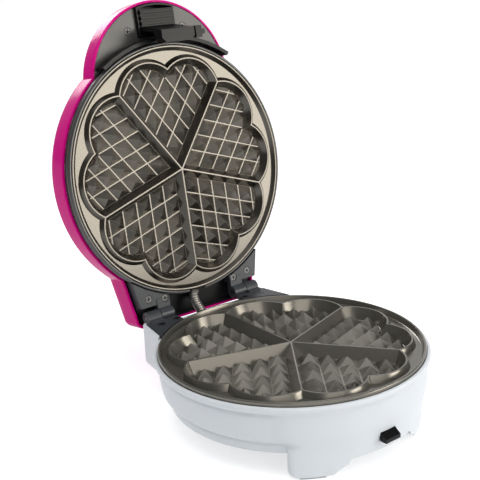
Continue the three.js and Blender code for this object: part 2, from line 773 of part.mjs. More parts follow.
function rearDeck() {
  const edge = wall + fit;
  const outline = upright(rearOutline(rear, edge), deckLow, deckTop);
  const padOutline = upright(rearOutline(rear, edge), deckTop - fit, deck.padTop);
  const pads = [-1, 1].map((side) => {
    const [x0, x1] = side < 0 ? [-deck.padOuter, -deck.padInner] : [deck.padInner, deck.padOuter];
    return padOutline.intersect(block(x0, x1, deck.padFront, deck.padBack, deckLow, overrun));
  });
  const round = disc(lip.radius + fit, deckLow - overrun, overrun, 0, 0, roundSteps);
  const screws = hingeScrewPlaces.map(([x, y]) => screwRoom(x, y, baseLeaf.top, -1));
  return cut(join(outline, ...pads), round, conduitRoom(), ...screws);
}

function bottomCover() {
  const vents = [];
  for (let i = 0; i < coverVents; i += 1) {
    const y = (i - (coverVents - 1) / 2) * cover.ventPitch;
    const [half, low, high] = [cover.ventLength / 2, bodyLevel.foot - overrun, coverTop + overrun];
    vents.push(block(-half, half, y - cover.ventWidth / 2, y + cover.ventWidth / 2, low, high));
  }
  const plate = disc(coverRadius, bodyLevel.foot, coverTop, 0, 0, roundSteps);
  const rooms = coverScrewPlaces.map(([x, y]) => screwRoom(x, y, bodyLevel.foot, 1));
  return cut(plate, ...vents, ...rooms);
}

function lowerPan() {
  const made = turned([
    [0, panFloor - pan.sheet],
    [panWall + pan.sheet, panFloor - pan.sheet],
    [panWall + pan.sheet, panLip - pan.sheet],
    [rimTop, panLip - pan.sheet],
    [rimTop, panLip],
    [panWall, panLip],
    [panWall, panFloor],
    [0, panFloor],
  ], panSteps);
  return cut(made, heaterHoles(panFloor - overrun, panFloor + overrun));
}

function thermostatBody(z0, side) {
  const { width, depth, height, across, along } = thermostat;
  const [low, high] = side > 0 ? [z0, z0 + height] : [z0 - height, z0];
  return block(across - width / 2, across + width / 2, along - depth / 2, along + depth / 2, low, high);
}

function thermalFuse() {
  const level = panFloor - pan.sheet - fit - fuse.radius;
  return rodX(fuse.radius, fuse.across - fuse.length / 2, fuse.across + fuse.length / 2, fuse.along, level);
}

function terminalBlock() {
  const { width, depth, height, along } = terminal;
  const low = coverTop + fit;
  return block(-width / 2, width / 2, along - depth / 2, along + depth / 2, low, low + height);
}

function releaseButton() {
  const outer = legs.outer + fit;
  const back = button.collarFront - button.collar;
  const wedge = pulledX(
    [
      [-button.front, button.bottom],
      [-outer, button.bottom],
      [-outer, button.under],
      [-back, button.under],
      [-back, button.top],
      [-outer, button.top],
      [-button.front, button.top - button.slope],
    ],
    -button.half,
    button.half,
  );
  const half = button.half + button.collar;
  const collar = block(-half, half, -button.collarFront, -back, button.under, button.top);
  return join(wedge, collar);
}

// A helical spring along Y.
function releaseSpring() {
  const steps = 8 * buttonSpringTurns;
  const from = -button.collarFront + button.collar + fit + buttonSpring.wire / 2;
  const to = -buttonSpring.back - fit - buttonSpring.wire / 2;
  const level = (button.under + button.top) / 2;
  const points = [];
  for (let i = 0; i <= steps; i += 1) {
    const angle = (2 * Math.PI * buttonSpringTurns * i) / steps;
    points.push([
      buttonSpring.radius * Math.cos(angle),
      from + ((to - from) * i) / steps,
      level + buttonSpring.radius * Math.sin(angle),
    ]);
  }
  return tube(points, buttonSpring.wire / 2, 4, steps);
}

function cordGland() {
  const { radius, neck, bore, across, height } = gland;
  const outside = rearFace + fit;
  const made = join(
    rodY(radius, outside, outside + gland.flange, across, height),
    rodY(neck, outside - gland.depth, outside + gland.flange, across, height),
  );
  return cut(made, rodY(bore, outside - gland.depth - overrun, outside + gland.flange + overrun, across, height));
}

// Hinges

const rearFace = rear.back;
const split = { base: knuckle.split + knuckle.gap / 2, lid: knuckle.split - knuckle.gap / 2 };
const hingeScrewPlaces = [-1, 1].flatMap((side) => [
  [side * leafScrew.near, leafScrew.baseNear],
  [side * leafScrew.far, leafScrew.baseFar],
]);
const lidScrewPlaces = [-1, 1].flatMap((side) => [
  [side * leafScrew.near, leafScrew.lidNear],
  [side * leafScrew.far, leafScrew.lidFar],
]);
const pinBore = rodX(pin.radius + pin.clear, knuckle.inner - overrun, knuckle.outer + overrun, hingeBack, hingeHeight);

function baseBracket() {
  const { top, thickness, edge, back, reach, web } = baseLeaf;
  const outline = upright(rearOutline(rear, edge), top - thickness, top);
  const keep = block(knuckle.inner, rear.shoulderHalf, rear.front, back, top - thickness, top);
  const round = disc(reach, top - thickness - overrun, top + overrun, 0, 0, roundSteps);
  const leaf = cut(outline.intersect(keep), round);
  const arm = block(split.base, knuckle.outer, hingeBack - barrel - thickness - fit, hingeBack, hingeHeight - web, hingeHeight);
  const eye = rodX(barrel, split.base, knuckle.outer, hingeBack, hingeHeight, eyeSteps);
  const lidRoom = rodX(barrel + 2 * fit, knuckle.inner - overrun, split.base, hingeBack, hingeHeight, eyeSteps);
  const screws = hingeScrewPlaces.map(([x, y]) => screwRoom(x, y, top, -1));
  return cut(join(leaf, arm, eye), lidRoom, pinBore, ...screws);
}

function lidBracket() {
  const { under, top, back, reach, front, web } = lidLeaf;
  const outline = upright(rearOutline(tail, shell.thickness + fit), under, top);
  const keep = block(knuckle.inner, rear.shoulderHalf, front, back, under, top);
  const round = disc(reach, under - overrun, top + overrun, 0, 0, roundSteps);
  const leaf = cut(outline.intersect(keep), round);
  const arm = block(knuckle.inner, split.lid, back - web, hingeBack, hingeHeight, hingeHeight + barrel);
  const eye = rodX(barrel, knuckle.inner, split.lid, hingeBack, hingeHeight, eyeSteps);
  const baseRoom = rodX(barrel + 2 * fit, split.lid, knuckle.outer + overrun, hingeBack, hingeHeight, eyeSteps);
  const screws = lidScrewPlaces.map(([x, y]) => screwRoom(x, y, under, 1, leafScrew.lidLength));
  return cut(join(leaf, arm, eye), baseRoom, pinBore, ...screws);
}

function hingePin() {
  return rodX(pin.radius, knuckle.inner, knuckle.outer, hingeBack, hingeHeight);
}

// A corrugated hose with a bore, along the conduit's route.
function wiringConduit() {
  const curve = new THREE.CatmullRomCurve3(conduitRoute.map((p) => new THREE.Vector3(...p)), false, "centripetal");
  const rings = 2 * conduitRibs;
  const boreRings = conduitRibs / conduitBoreShare;
  const frames = curve.computeFrenetFrames(rings, false);
  const positions = [];
  const index = [];
  const ringAt = (i, radius) => {
    const centre = curve.getPointAt(i / rings);
    for (let k = 0; k < conduitSides; k += 1) {
      const angle = (2 * Math.PI * k) / conduitSides;
      const point = centre.clone();
      point.addScaledVector(frames.normals[i], radius * Math.cos(angle));
      point.addScaledVector(frames.binormals[i], radius * Math.sin(angle));
      positions.push(...point.toArray());
    }
  };
  const band = (from, to) => {
    for (let k = 0; k < conduitSides; k += 1) {
      const next = (k + 1) % conduitSides;
      index.push(from + k, from + next, to + next, from + k, to + next, to + k);
    }
  };
  for (let i = 0; i <= rings; i += 1) ringAt(i, i % 2 === 0 ? conduit.radius - conduit.groove : conduit.radius);
  for (let i = 0; i <= boreRings; i += 1) ringAt((rings * (boreRings - i)) / boreRings, conduit.bore);
  const total = positions.length / 3 / conduitSides;
  for (let i = 0; i < total; i += 1) band(i * conduitSides, ((i + 1) % total) * conduitSides);
  const geometry = new THREE.BufferGeometry();
  geometry.setAttribute("position", new THREE.Float32BufferAttribute(positions, 3));
  geometry.setIndex(index);
  return solid(geometry);
}

// Lid

function dome(radius, low, wallTop, crown, y, rings) {
  const points = [[0, low], [radius, low]];
  for (let i = 0; i < rings; i += 1) {
    const angle = ((Math.PI / 2) * i) / rings;
    points.push([radius * Math.cos(angle), wallTop + (crown - wallTop) * Math.sin(angle)]);
  }
  points.push([0, crown]);
  return turned(points, roundSteps, 0, y);
}

function tailForm(inset, low, drop) {
  const layers = [[rearOutline(tail, inset), low]];
  for (let i = 0; i <= tailSteps; i += 1) {
    const angle = ((Math.PI / 2) * i) / tailSteps;
    const draw = tail.round * (1 - Math.cos(angle));
    layers.push([rearOutline(tail, inset + draw), tail.wallTop + (tail.crown - drop - tail.wallTop) * Math.sin(angle)]);
  }
  return lofted(layers);
}

// The form of the lid, drawn in all round by inset and from above by drop.
function lidForm(inset, low, drop, rings) {
  return join(
    dome(shell.radius - inset, low, shell.wallTop, shell.crown - drop, 0, rings),
    dome(tongue.radius - inset, low, tongue.wallTop, tongue.crown - drop, -tongue.forward, rings),
    tailForm(inset, low, drop),
  );
}

const lampPlaces = { power: [-lamp.across, -lamp.forward], ready: [lamp.across, -lamp.forward] };
const lampTop = shell.wallTop + (shell.crown - shell.wallTop) * Math.sqrt(1 - (lamp.forward / shell.radius) ** 2) + lamp.proud;

function lidShell() {
  const lampWays = Object.values(lampPlaces).map(([x, y]) => disc(lamp.radius + fit, shell.wallTop, shell.crown + overrun, x, y));
  const outside = lidForm(0, shell.rim, 0, domeSteps);
  const inside = lidForm(shell.thickness, shell.rim - overrun, shell.thickness, tailSteps);
  return cut(outside, inside, ...lampWays);
}

function signalLamp([x, y]) {
  const profile = [
    [0, lampTop - lamp.depth],
    [lamp.radius, lampTop - lamp.depth],
    [lamp.radius, lampTop - lamp.proud / 2],
    [lamp.radius / 2, lampTop + lamp.proud / 2],
    [0, lampTop + lamp.proud / 2],
  ];
  return turned(profile, smallSteps, x, y);
}

function notchForConduit(z0, z1) {
  const { left, right, deep } = conduitNotch;
  return block(left, right, lidPan.lip - deep, lip.radius + overrun, z0, z1);
}

function plateRing() {
  const { inner, outer, sheet, low, high, top } = ring;
  const made = turned([
    [inner, low],
    [inner + sheet, low],
    [outer, high],
    [outer, high + sheet],
    [inner + sheet, high + sheet],
    [inner + sheet, top],
    [inner, top],
  ]);
  return cut(made, notchForConduit(low - overrun, top + overrun));
}

const lidPlateBack = plateGap + upperPlate.depth + plateThickness;
const lidPanLip = plateGap + upperPlate.rimDrop + fit;
const lidPanTop = lidPlateBack + element.clear + 2 * element.tube + fit;

function upperPan() {
  const made = turned([
    [0, lidPanTop],
    [panWall, lidPanTop],
    [panWall, lidPanLip],
    [lidPan.lip, lidPanLip],
    [lidPan.lip, lidPanLip + pan.sheet],
    [panWall + pan.sheet, lidPanLip + pan.sheet],
    [panWall + pan.sheet, lidPanTop + pan.sheet],
    [0, lidPanTop + pan.sheet],
  ], panSteps);
  const holes = heaterHoles(lidPanTop - overrun, lidPanTop + overrun);
  return cut(made, holes, notchForConduit(lidPanLip - overrun, lidPanLip + overrun));
}

function upperPlateBody() {
  const made = geometryOf(heartPlate(upperPlate));
  return solid(made.rotateY(Math.PI).translate(0, 0, plateGap));
}

function tailLiner() {
  const high = liner.low + liner.thickness;
  const outline = upright(rearOutline(tail, shell.thickness + fit), liner.low, high);
  const round = disc(liner.reach, liner.low - overrun, high + overrun, 0, 0, roundSteps);
  const hose = disc(conduit.radius + overrun, liner.low - overrun, high + overrun, conduitLid.across, conduitLid.along);
  const screws = lidScrewPlaces.map(([x, y]) => screwRoom(x, y, lidLeaf.under, 1, leafScrew.lidLength));
  return cut(outline, round, hose, ...screws);
}

function guardRib() {
  const shape = sector(rib.inner, rib.inner + rib.thickness, -Math.PI / 2, rib.halfAngle);
  return raised(shape, rib.low, tonguePlate.level - fit, apronSteps);
}

function pocketForm(grow, low, high) {
  const box = block(-pocket.half - grow, pocket.half + grow, -pocket.front - grow, -pocket.back + grow, low, high);
  const round = disc(tongue.radius - shell.thickness - 2 * fit + grow, low, high, 0, -tongue.forward, roundSteps);
  return box.intersect(round);
}

function latchHousing() {
  const inside = pocketForm(-pocket.wall, pocket.low - overrun, pocket.top - pocket.wall);
  const bore = rodX(latchPin.radius + fit, -latchPin.half - fit, latchPin.half + fit, -latch.forward, latch.height);
  return cut(pocketForm(0, pocket.low, pocket.top), inside, bore);
}

function tonguePlateBody() {
  const { level, thickness, inner } = tonguePlate;
  const high = level + thickness;
  const round = disc(tongue.radius - shell.thickness - fit, level, high, 0, -tongue.forward, roundSteps);
  const middle = disc(inner, level - overrun, high + overrun, 0, 0, roundSteps);
  const behind = block(-lip.radius, lip.radius, -tongue.forward, lip.radius, level - overrun, high + overrun);
  const screws = [-1, 1].map((side) => screwRoom(side * tongueScrew.across, -tongueScrew.forward, level, 1));
  return cut(round, middle, behind, pocketForm(fit, level - overrun, high + overrun), releaseSlot(), ...screws);
}

const releaseMiddle = { x: (release.left + release.right) / 2, y: -(release.front + release.back) / 2 };

function releaseSlot() {
  const half = release.stem / 2 + fit;
  const { x, y } = releaseMiddle;
  const [low, high] = [tonguePlate.level - overrun, tonguePlate.level + tonguePlate.thickness + overrun];
  return block(x - half - release.travel, x + half, y - half, y + half, low, high);
}

function releaseSlider() {
  const { x, y } = releaseMiddle;
  const under = tonguePlate.level - fit;
  const over = tonguePlate.level + tonguePlate.thickness + fit;
  const low = tonguePlate.level - release.proud;
  const stem = release.stem / 2;
  const wide = stem + release.overlap;
  return join(
    block(release.left, release.right, -release.front, -release.back, low, under),
    block(x, release.wing, -release.wingFront, -release.wingBack, low, under),
    block(x - stem, x + stem, y - stem, y + stem, low, over),
    block(x - stem, x + stem, y - wide, y + wide, over, over + release.cap),
  );
}

function latchBody() {
  const { half, forward, height, boss, padFront, padUnder, padTop, armFront, armFoot, arm, hookBack, hookTop, hookLow, chamfer } = latch;
  const leverShape = pulledX(
    [
      [-padFront, padUnder],
      [-armFront, padUnder],
      [-armFoot, hookLow],
      [-hookBack, hookLow],
      [-hookBack, hookTop],
      [-armFoot + arm - overrun, hookTop],
      [-armFront + arm + fit, padUnder],
      [-forward + boss, height],
      [-forward, height + boss / 2],
      [-padFront, padTop],
    ],
    -half,
    half,
  );
  const eye = rodX(boss, -half, half, -forward, height, 24);
  const pads = [];
  for (let i = 0; i < latchRibs; i += 1) {
    const y = -padFront + (i + 1 / 2) * latch.ribPitch;
    pads.push(block(-half, half, y - latch.ribWidth / 2, y + latch.ribWidth / 2, padUnder - latch.rib, padTop - latch.rib));
  }
  const corners = [-1, 1].map((side) => {
    const shape = new THREE.Shape();
    shape.moveTo(side * half, -hookBack + overrun);
    shape.lineTo(side * (half + overrun), -hookBack + overrun);
    shape.lineTo(side * (half + overrun), -hookBack - chamfer);
    shape.lineTo(side * half, -hookBack - chamfer);
    shape.lineTo(side * (half - chamfer), -hookBack);
    shape.lineTo(side * (half - chamfer), -hookBack + overrun);
    shape.closePath();
    return raised(shape, hookLow - overrun, hookTop + overrun);
  });
  const bore = rodX(latchPin.radius + fit, -half - overrun, half + overrun, -forward, height);
  const coil = rodX(boss + fit, -latchSpring.half - fit, latchSpring.half + fit, -forward, height, 24);
  return cut(join(leverShape, eye, ...pads), ...corners, bore, coil);
}

function latchCoil() {
  const full = rodX(latchSpring.outer, -latchSpring.half, latchSpring.half, -latch.forward, latch.height, eyeSteps);
  return cut(full, rodX(latchSpring.inner, -latchSpring.half - overrun, latchSpring.half + overrun, -latch.forward, latch.height, eyeSteps));
}

// Base pieces

add(base, "base_housing", baseHousing(), whitePlastic);
add(base, "rear_deck", rearDeck(), blackPlastic);
add(base, "base_bottom_cover", bottomCover(), greyPlastic);
coverScrewPlaces.forEach(([x, y], i) => add(base, `cover_screw_${i + 1}`, crossScrew(x, y, bodyLevel.foot, 1), steel));
Object.entries(footPlaces).forEach(([name, [side, turn]]) => {
  const low = legBottom - foot.proud;
  add(base, `foot_${name}`, footPad(side, turn, 0, low, low + foot.height), rubber);
});
add(base, "lower_plate", heartPlate(lowerPlate), coatedMetal);
add(base, "lower_heating_element", heater(plateUnder - element.clear - element.tube, -1), steel);
add(base, "lower_reflector", lowerPan(), aluminium);
add(base, "lower_thermostat", thermostatBody(panFloor - pan.sheet - fit, -1), ceramic);
add(base, "lower_thermal_fuse", thermalFuse(), ceramic);
add(base, "terminal_block", terminalBlock(), ceramic);
add(base, "lower_release_button", releaseButton(), blackPlastic);
add(base, "lower_release_spring", releaseSpring(), steel);
add(base, "base_hinge_right", baseBracket(), hingeGrey);
add(base, "base_hinge_left", mirroredX(baseBracket()), hingeGrey);
hingeScrewPlaces.forEach(([x, y], i) => add(base, `base_hinge_screw_${i + 1}`, crossScrew(x, y, baseLeaf.top, -1), steel));
add(base, "hinge_pin_right", hingePin(), steel);
add(base, "hinge_pin_left", mirroredX(hingePin()), steel);
add(base, "cord_gland", cordGland(), blackPlastic);
add(base, "wiring_conduit", wiringConduit(), steel);

// Lid pieces

add(lidPieces, "lid_shell", lidShell(), magentaGloss);
add(lidPieces, "tongue_plate", tonguePlateBody(), greyPlastic);
[-1, 1].forEach((side) => {
  const name = side < 0 ? "tongue_screw_left" : "tongue_screw_right";
  add(lidPieces, name, crossScrew(side * tongueScrew.across, -tongueScrew.forward, tonguePlate.level, 1), steel);
});
add(lidPieces, "upper_plate", upperPlateBody(), coatedMetal);
add(lidPieces, "upper_plate_ring", plateRing(), greyPlastic);
add(lidPieces, "upper_heating_element", heater(lidPlateBack + element.clear + element.tube, 1), steel);
add(lidPieces, "upper_reflector", upperPan(), aluminium);
add(lidPieces, "upper_thermostat", thermostatBody(lidPanTop + pan.sheet + fit, 1), ceramic);
add(lidPieces, "plate_guard_rib", guardRib(), blackPlastic);
add(lidPieces, "lid_tail_liner", tailLiner(), blackPlastic);
add(lidPieces, "lid_hinge_right", lidBracket(), hingeGrey);
add(lidPieces, "lid_hinge_left", mirroredX(lidBracket()), hingeGrey);
lidScrewPlaces.forEach(([x, y], i) => {
  add(lidPieces, `lid_hinge_screw_${i + 1}`, crossScrew(x, y, lidLeaf.under, 1, leafScrew.lidLength), steel);
});
add(lidPieces, "latch_housing", latchHousing(), blackPlastic);
add(lidPieces, "lid_latch", latchBody(), blackPlastic);
add(lidPieces, "latch_pin", rodX(latchPin.radius, -latchPin.half, latchPin.half, -latch.forward, latch.height), steel);
add(lidPieces, "latch_spring", latchCoil(), steel);
add(lidPieces, "upper_release_slider", releaseSlider(), blackPlastic);
add(lidPieces, "power_lamp", signalLamp(lampPlaces.power), redLens);
add(lidPieces, "ready_lamp", signalLamp(lampPlaces.ready), greenLens);

// Stand the open machine on z = 0, centred on its footprint.
const bounds = new THREE.Box3().setFromObject(machine, true);
service.position.x -= (bounds.min.x + bounds.max.x) / 2;
service.position.y -= (bounds.min.y + bounds.max.y) / 2;
service.position.z -= bounds.min.z;

export default machine;
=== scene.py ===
"""Looks of the heart waffle maker, in metres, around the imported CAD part."""

import math

import bmesh
import bpy
from mathutils import Matrix, Vector


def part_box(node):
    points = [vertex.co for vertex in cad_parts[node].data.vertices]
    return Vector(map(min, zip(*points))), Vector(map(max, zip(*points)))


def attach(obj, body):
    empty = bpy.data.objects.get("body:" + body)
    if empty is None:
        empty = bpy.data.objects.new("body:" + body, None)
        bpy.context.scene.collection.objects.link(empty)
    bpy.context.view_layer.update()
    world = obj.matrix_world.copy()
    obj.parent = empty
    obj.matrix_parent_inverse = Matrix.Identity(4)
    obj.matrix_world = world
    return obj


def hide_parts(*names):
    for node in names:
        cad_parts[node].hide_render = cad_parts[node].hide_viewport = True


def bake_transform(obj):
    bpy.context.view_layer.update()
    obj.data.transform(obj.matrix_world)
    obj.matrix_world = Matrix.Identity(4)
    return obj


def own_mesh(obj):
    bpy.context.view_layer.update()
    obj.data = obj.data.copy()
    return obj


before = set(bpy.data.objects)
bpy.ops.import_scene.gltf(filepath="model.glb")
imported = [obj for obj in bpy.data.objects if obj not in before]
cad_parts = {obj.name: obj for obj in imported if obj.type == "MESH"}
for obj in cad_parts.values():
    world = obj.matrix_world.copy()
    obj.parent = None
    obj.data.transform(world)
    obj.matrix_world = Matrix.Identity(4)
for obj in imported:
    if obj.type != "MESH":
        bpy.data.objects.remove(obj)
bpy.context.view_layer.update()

MM = 0.001

# The hinge's axis in the drawing, in millimetres from the middle of the lower plate's upper face
HINGE_BACK = 112.35
HINGE_HEIGHT = 1.4

# Camera, found from the photograph: angles in degrees, lengths in millimetres
CAMERA_AZIMUTH = -37.48
CAMERA_ELEVATION = 17.166
CAMERA_ROLL = -2.511
CAMERA_DISTANCE = 662.17
CAMERA_LENS = 71.6
SENSOR_WIDTH = 36
TARGET_FROM_HINGE = (-43.788, -HINGE_BACK, 88.137)

pin_low, pin_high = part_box("hinge_pin_left")
HINGE = Vector((0, (pin_low.y + pin_high.y) / 2, (pin_low.z + pin_high.z) / 2))


def added(name, data):
    """A new object in the scene."""
    made = bpy.data.objects.new(name, data)
    bpy.context.scene.collection.objects.link(made)
    return made


def add_camera():
    """The camera at the photograph's viewing angle."""
    azimuth = math.radians(CAMERA_AZIMUTH)
    elevation = math.radians(CAMERA_ELEVATION)
    roll = math.radians(CAMERA_ROLL)
    level = math.cos(elevation)
    back = Vector((math.sin(azimuth) * level, -math.cos(azimuth) * level, math.sin(elevation)))
    right = Vector((math.cos(azimuth), math.sin(azimuth), 0))
    up = back.cross(right)
    right, up = (
        right * math.cos(roll) + up * math.sin(roll),
        up * math.cos(roll) - right * math.sin(roll),
    )
    target = HINGE + Vector(TARGET_FROM_HINGE) * MM
    data = bpy.data.cameras.new("camera")
    data.lens = CAMERA_LENS
    data.sensor_width = SENSOR_WIDTH
    camera = added("camera", data)
    turn = Matrix((right, up, back)).transposed().to_4x4()
    camera.matrix_world = Matrix.Translation(target + back * CAMERA_DISTANCE * MM) @ turn
    bpy.context.scene.camera = camera


add_camera()


# Materials


class Tree:
    """Short ways to add, set and link the nodes of a tree."""

    def __init__(self, tree):
        self.tree = tree

    def node(self, kind, **values):
        """A new node. Each value is set on the input of its name, or else as a setting."""
        made = self.tree.nodes.new(kind)
        for key, value in values.items():
            if key in made.inputs:
                made.inputs[key].default_value = value
            else:
                setattr(made, key, value)
        return made

    def link(self, start, end):
        self.tree.links.new(start, end)

    def span(self, fac, low, high, from_low=0.3, from_high=0.7, **settings):
        """Stretches the values of fac from one range to another."""
        made = self.node("ShaderNodeMapRange", **settings)
        made.inputs["From Min"].default_value = from_low
        made.inputs["From Max"].default_value = from_high
        made.inputs["To Min"].default_value = low
        made.inputs["To Max"].default_value = high
        self.link(fac, made.inputs["Value"])
        return made.outputs["Result"]

    def highest(self, most, *others):
        """The highest of some values."""
        for other in others:
            step = self.node("ShaderNodeMath", operation="MAXIMUM")
            self.link(most, step.inputs[0])
            self.link(other, step.inputs[1])
            most = step.outputs[0]
        return most

    def mixed(self, share, first, second):
        """The first shader where share is 0, and the second where it is 1."""
        made = self.node("ShaderNodeMixShader")
        self.link(share, made.inputs[0])
        self.link(first, made.inputs[1])
        self.link(second, made.inputs[2])
        return made.outputs[0]


class Nodes(Tree):
    """A new material's node tree."""

    def __init__(self, name):
        self.material = bpy.data.materials.new(name)
        self.material.use_nodes = True
        super().__init__(self.material.node_tree)
        self.shader = self.tree.nodes["Principled BSDF"]
        self.coords = self.node("ShaderNodeTexCoord").outputs["Object"]

    def noise(self, scale, detail=4, roughness=0.6, stretch=None):
        """Noise in the object's own coordinates, stretched where three scales are given."""
        made = self.node("ShaderNodeTexNoise", Scale=scale, Detail=detail, Roughness=roughness)
        place = self.coords
        if stretch:
            mapping = self.node("ShaderNodeMapping", Scale=stretch)
            self.link(place, mapping.inputs["Vector"])
            place = mapping.outputs["Vector"]
        self.link(place, made.inputs["Vector"])
        return made.outputs["Fac"]

    def shades(self, fac, color, dark, light, start=0.3, end=0.7):
        """A colour that runs from its dark share to its light share with fac."""
        made = self.node("ShaderNodeValToRGB")
        self.link(fac, made.inputs["Fac"])
        stops = ((start, dark), (end, light))
        for element, (position, share) in zip(made.color_ramp.elements, stops):
            element.position = position
            element.color = (*(channel * share for channel in color), 1)
        return made.outputs["Color"]

    def set(self, **values):
        """Sets the shader's own inputs, with _ for a space in their names."""
        for key, value in values.items():
            self.shader.inputs[key.replace("_", " ")].default_value = value

    def feed(self, name, output):
        """Links an output to the shader's input of a name."""
        self.link(output, self.shader.inputs[name])

    def bump(self, height, strength, distance, normal=None):
        """Fine relief, over the given normal where there is one."""
        made = self.node("ShaderNodeBump", Strength=strength, Distance=distance)
        self.link(height, made.inputs["Height"])
        if normal:
            self.link(normal, made.inputs["Normal"])
        self.feed("Normal", made.outputs["Normal"])

    def rounded(self, radius):
        """The normal with edges shaded as if rounded."""
        return self.node("ShaderNodeBevel", samples=4, Radius=radius).outputs["Normal"]


def moulded(
    name, color, rough, coat=0.0, grain=1400, height=0.00002, spread=0.05, edge=0.0003, gloss=0.5
):
    """Moulded or painted skin: slight clouding of colour and gloss, and a fine texture."""
    n = Nodes(name)
    cloud = n.noise(18, detail=3, roughness=0.5)
    n.feed("Base Color", n.shades(cloud, color, dark=1 - spread, light=1 + spread))
    n.feed("Roughness", n.span(n.noise(60, detail=3), rough * 0.95, rough * 1.06))
    n.set(Coat_Weight=coat, Coat_Roughness=0.05, Specular_IOR_Level=gloss)
    n.bump(n.noise(grain, detail=2), 0.35, height, n.rounded(edge) if edge else None)
    return n.material


def brushed(name, color, rough, stretch=(30, 30, 900), painted_shade_reach=None):
    """Metal with fine streaks; where a reach is given, painted shade darkens hollows narrower than
    it.
    """
    n = Nodes(name)
    streak = n.noise(1, detail=3, stretch=stretch)
    tone = n.shades(streak, color, dark=0.82, light=1.1, start=0.25, end=0.75)
    if painted_shade_reach:
        # Painted shade: ambient occlusion darkens the colour in narrow hollows, such as a screw's
        # cross recess and the gap round its head.
        hollow = n.node("ShaderNodeAmbientOcclusion", samples=8, Distance=painted_shade_reach)
        shade = n.node("ShaderNodeMix", data_type="RGBA", blend_type="MULTIPLY")
        shade.inputs[0].default_value = 1
        n.link(tone, shade.inputs[6])
        painted_shade = n.span(hollow.outputs["AO"], 0.03, 1.0, from_low=0.6, from_high=0.95)
        n.link(painted_shade, shade.inputs[7])
        tone = shade.outputs[2]
    n.feed("Base Color", tone)
    n.feed("Roughness", n.span(streak, rough * 0.8, rough * 1.3))
    n.set(Metallic=1.0)
    n.bump(streak, 0.25, 0.00002, n.rounded(0.0002))
    return n.material


def coated(name, dark, wear_and_highlight, rough, ior):
    """Non-stick coated casting: fine speckle, cloudy gloss, and crests lighter as wear and as a
    painted highlight.
    """
    n = Nodes(name)
    speckle = n.noise(2600, detail=2, roughness=0.7)
    base = n.shades(n.noise(26), dark, dark=0.9, light=1.1)
    # Lighter crests: partly wear, partly a painted highlight along the tops of ridges and rims.
    crest = n.node("ShaderNodeNewGeometry").outputs["Pointiness"]
    mix = n.node("ShaderNodeMix", data_type="RGBA")
    n.link(n.span(crest, 0.0, 1.0, from_low=0.52, from_high=0.62), mix.inputs[0])
    n.link(base, mix.inputs[6])
    mix.inputs[7].default_value = (*wear_and_highlight, 1)
    n.feed("Base Color", mix.outputs[2])
    n.feed("Roughness", n.span(speckle, rough * 0.85, rough * 1.15))
    n.set(IOR=ior, Specular_Tint=(1, 0.93, 0.82, 1))
    n.bump(speckle, 0.12, 0.00003, n.rounded(0.00035))
    return n.material


WHITE = moulded("white_plastic", (0.74, 0.76, 0.775), 0.45, height=0.000008, edge=0, spread=0.01)
MAGENTA = moulded(
    "magenta_gloss", (0.7, 0.003, 0.229), 0.2, grain=400, height=0.00001, edge=0.0008, gloss=0.05
)
# Each coating's second colour is its crest colour: part wear, part painted highlight.
UPPER_COAT = coated("upper_coating", (0.013, 0.0105, 0.0078), (0.07, 0.06, 0.046), 0.22, 1.8)
LOWER_COAT = coated("lower_coating", (0.072, 0.067, 0.056), (0.2, 0.187, 0.16), 0.23, 1.92)
HINGE_GREY = moulded("hinge_grey", (0.04, 0.043, 0.047), 0.42, grain=1800, gloss=0.35)
BLACK = moulded("black_plastic", (0.005, 0.005, 0.0055), 0.3, grain=1800, gloss=0.16)
GREY = moulded("grey_plastic", (0.05, 0.047, 0.042), 0.36, grain=1800)
RING_GREY = moulded("ring_grey", (0.05, 0.048, 0.045), 0.32, grain=1800)
LINER = moulded("liner_black", (0.006, 0.006, 0.007), 0.45, grain=1800, gloss=0.12)
# Steel screws get painted shade in their cross recesses and in the gaps round their heads.
STEEL = brushed("steel", (0.11, 0.11, 0.113), 0.38, painted_shade_reach=0.0012)
HOSE = brushed("hose_metal", (0.32, 0.3, 0.28), 0.35)
SHEET = brushed("aluminium_sheet", (0.75, 0.76, 0.76), 0.35, stretch=(400, 20, 20))
PAD = moulded("foot_pad", (0.55, 0.56, 0.57), 0.7, grain=900, height=0.00004)
RED = moulded("red_lens", (0.5, 0.015, 0.01), 0.12, coat=1.0)
GREEN = moulded("green_lens", (0.03, 0.35, 0.05), 0.12, coat=1.0)
CERAMIC = moulded("ceramic", (0.75, 0.7, 0.6), 0.4)

LOOKS = {
    "base_housing": WHITE,
    "base_bottom_cover": WHITE,
    "rear_deck": BLACK,
    "lid_tail_liner": LINER,
    "lower_plate": LOWER_COAT,
    "upper_plate": UPPER_COAT,
    "upper_plate_ring": RING_GREY,
    "lid_shell": MAGENTA,
    "tongue_plate": GREY,
    "wiring_conduit": HOSE,
    "lower_reflector": SHEET,
    "upper_reflector": SHEET,
    "power_lamp": RED,
    "ready_lamp": GREEN,
    "terminal_block": CERAMIC,
}
# Looks of the other nodes: the first whose text is part of the node's name
FAMILIES = [
    ("foot_", PAD),
    ("base_hinge_screw", STEEL),
    ("lid_hinge_screw", STEEL),
    ("base_hinge", HINGE_GREY),
    ("lid_hinge", HINGE_GREY),
    ("thermostat", CERAMIC),
    ("fuse", CERAMIC),
    ("screw", STEEL),
    ("pin", STEEL),
    ("spring", STEEL),
    ("element", STEEL),
    ("", BLACK),
]

for name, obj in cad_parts.items():
    look = LOOKS.get(name) or next(material for text, material in FAMILIES if text in name)
    for slot in obj.material_slots:
        slot.material = look


# Forms, in the drawing's millimetres. The lid's own forms are drawn closed, and shown opens them.

OPEN = math.radians(98.9)
ROUND = 144  # faces round a full turn
MERGE = 1e-5  # points closer than this are one
OVER = 2  # how far a cutting form reaches past what it cuts
BELOW = -60  # a height under the whole base
FIT = 0.3  # play between a foot and its room


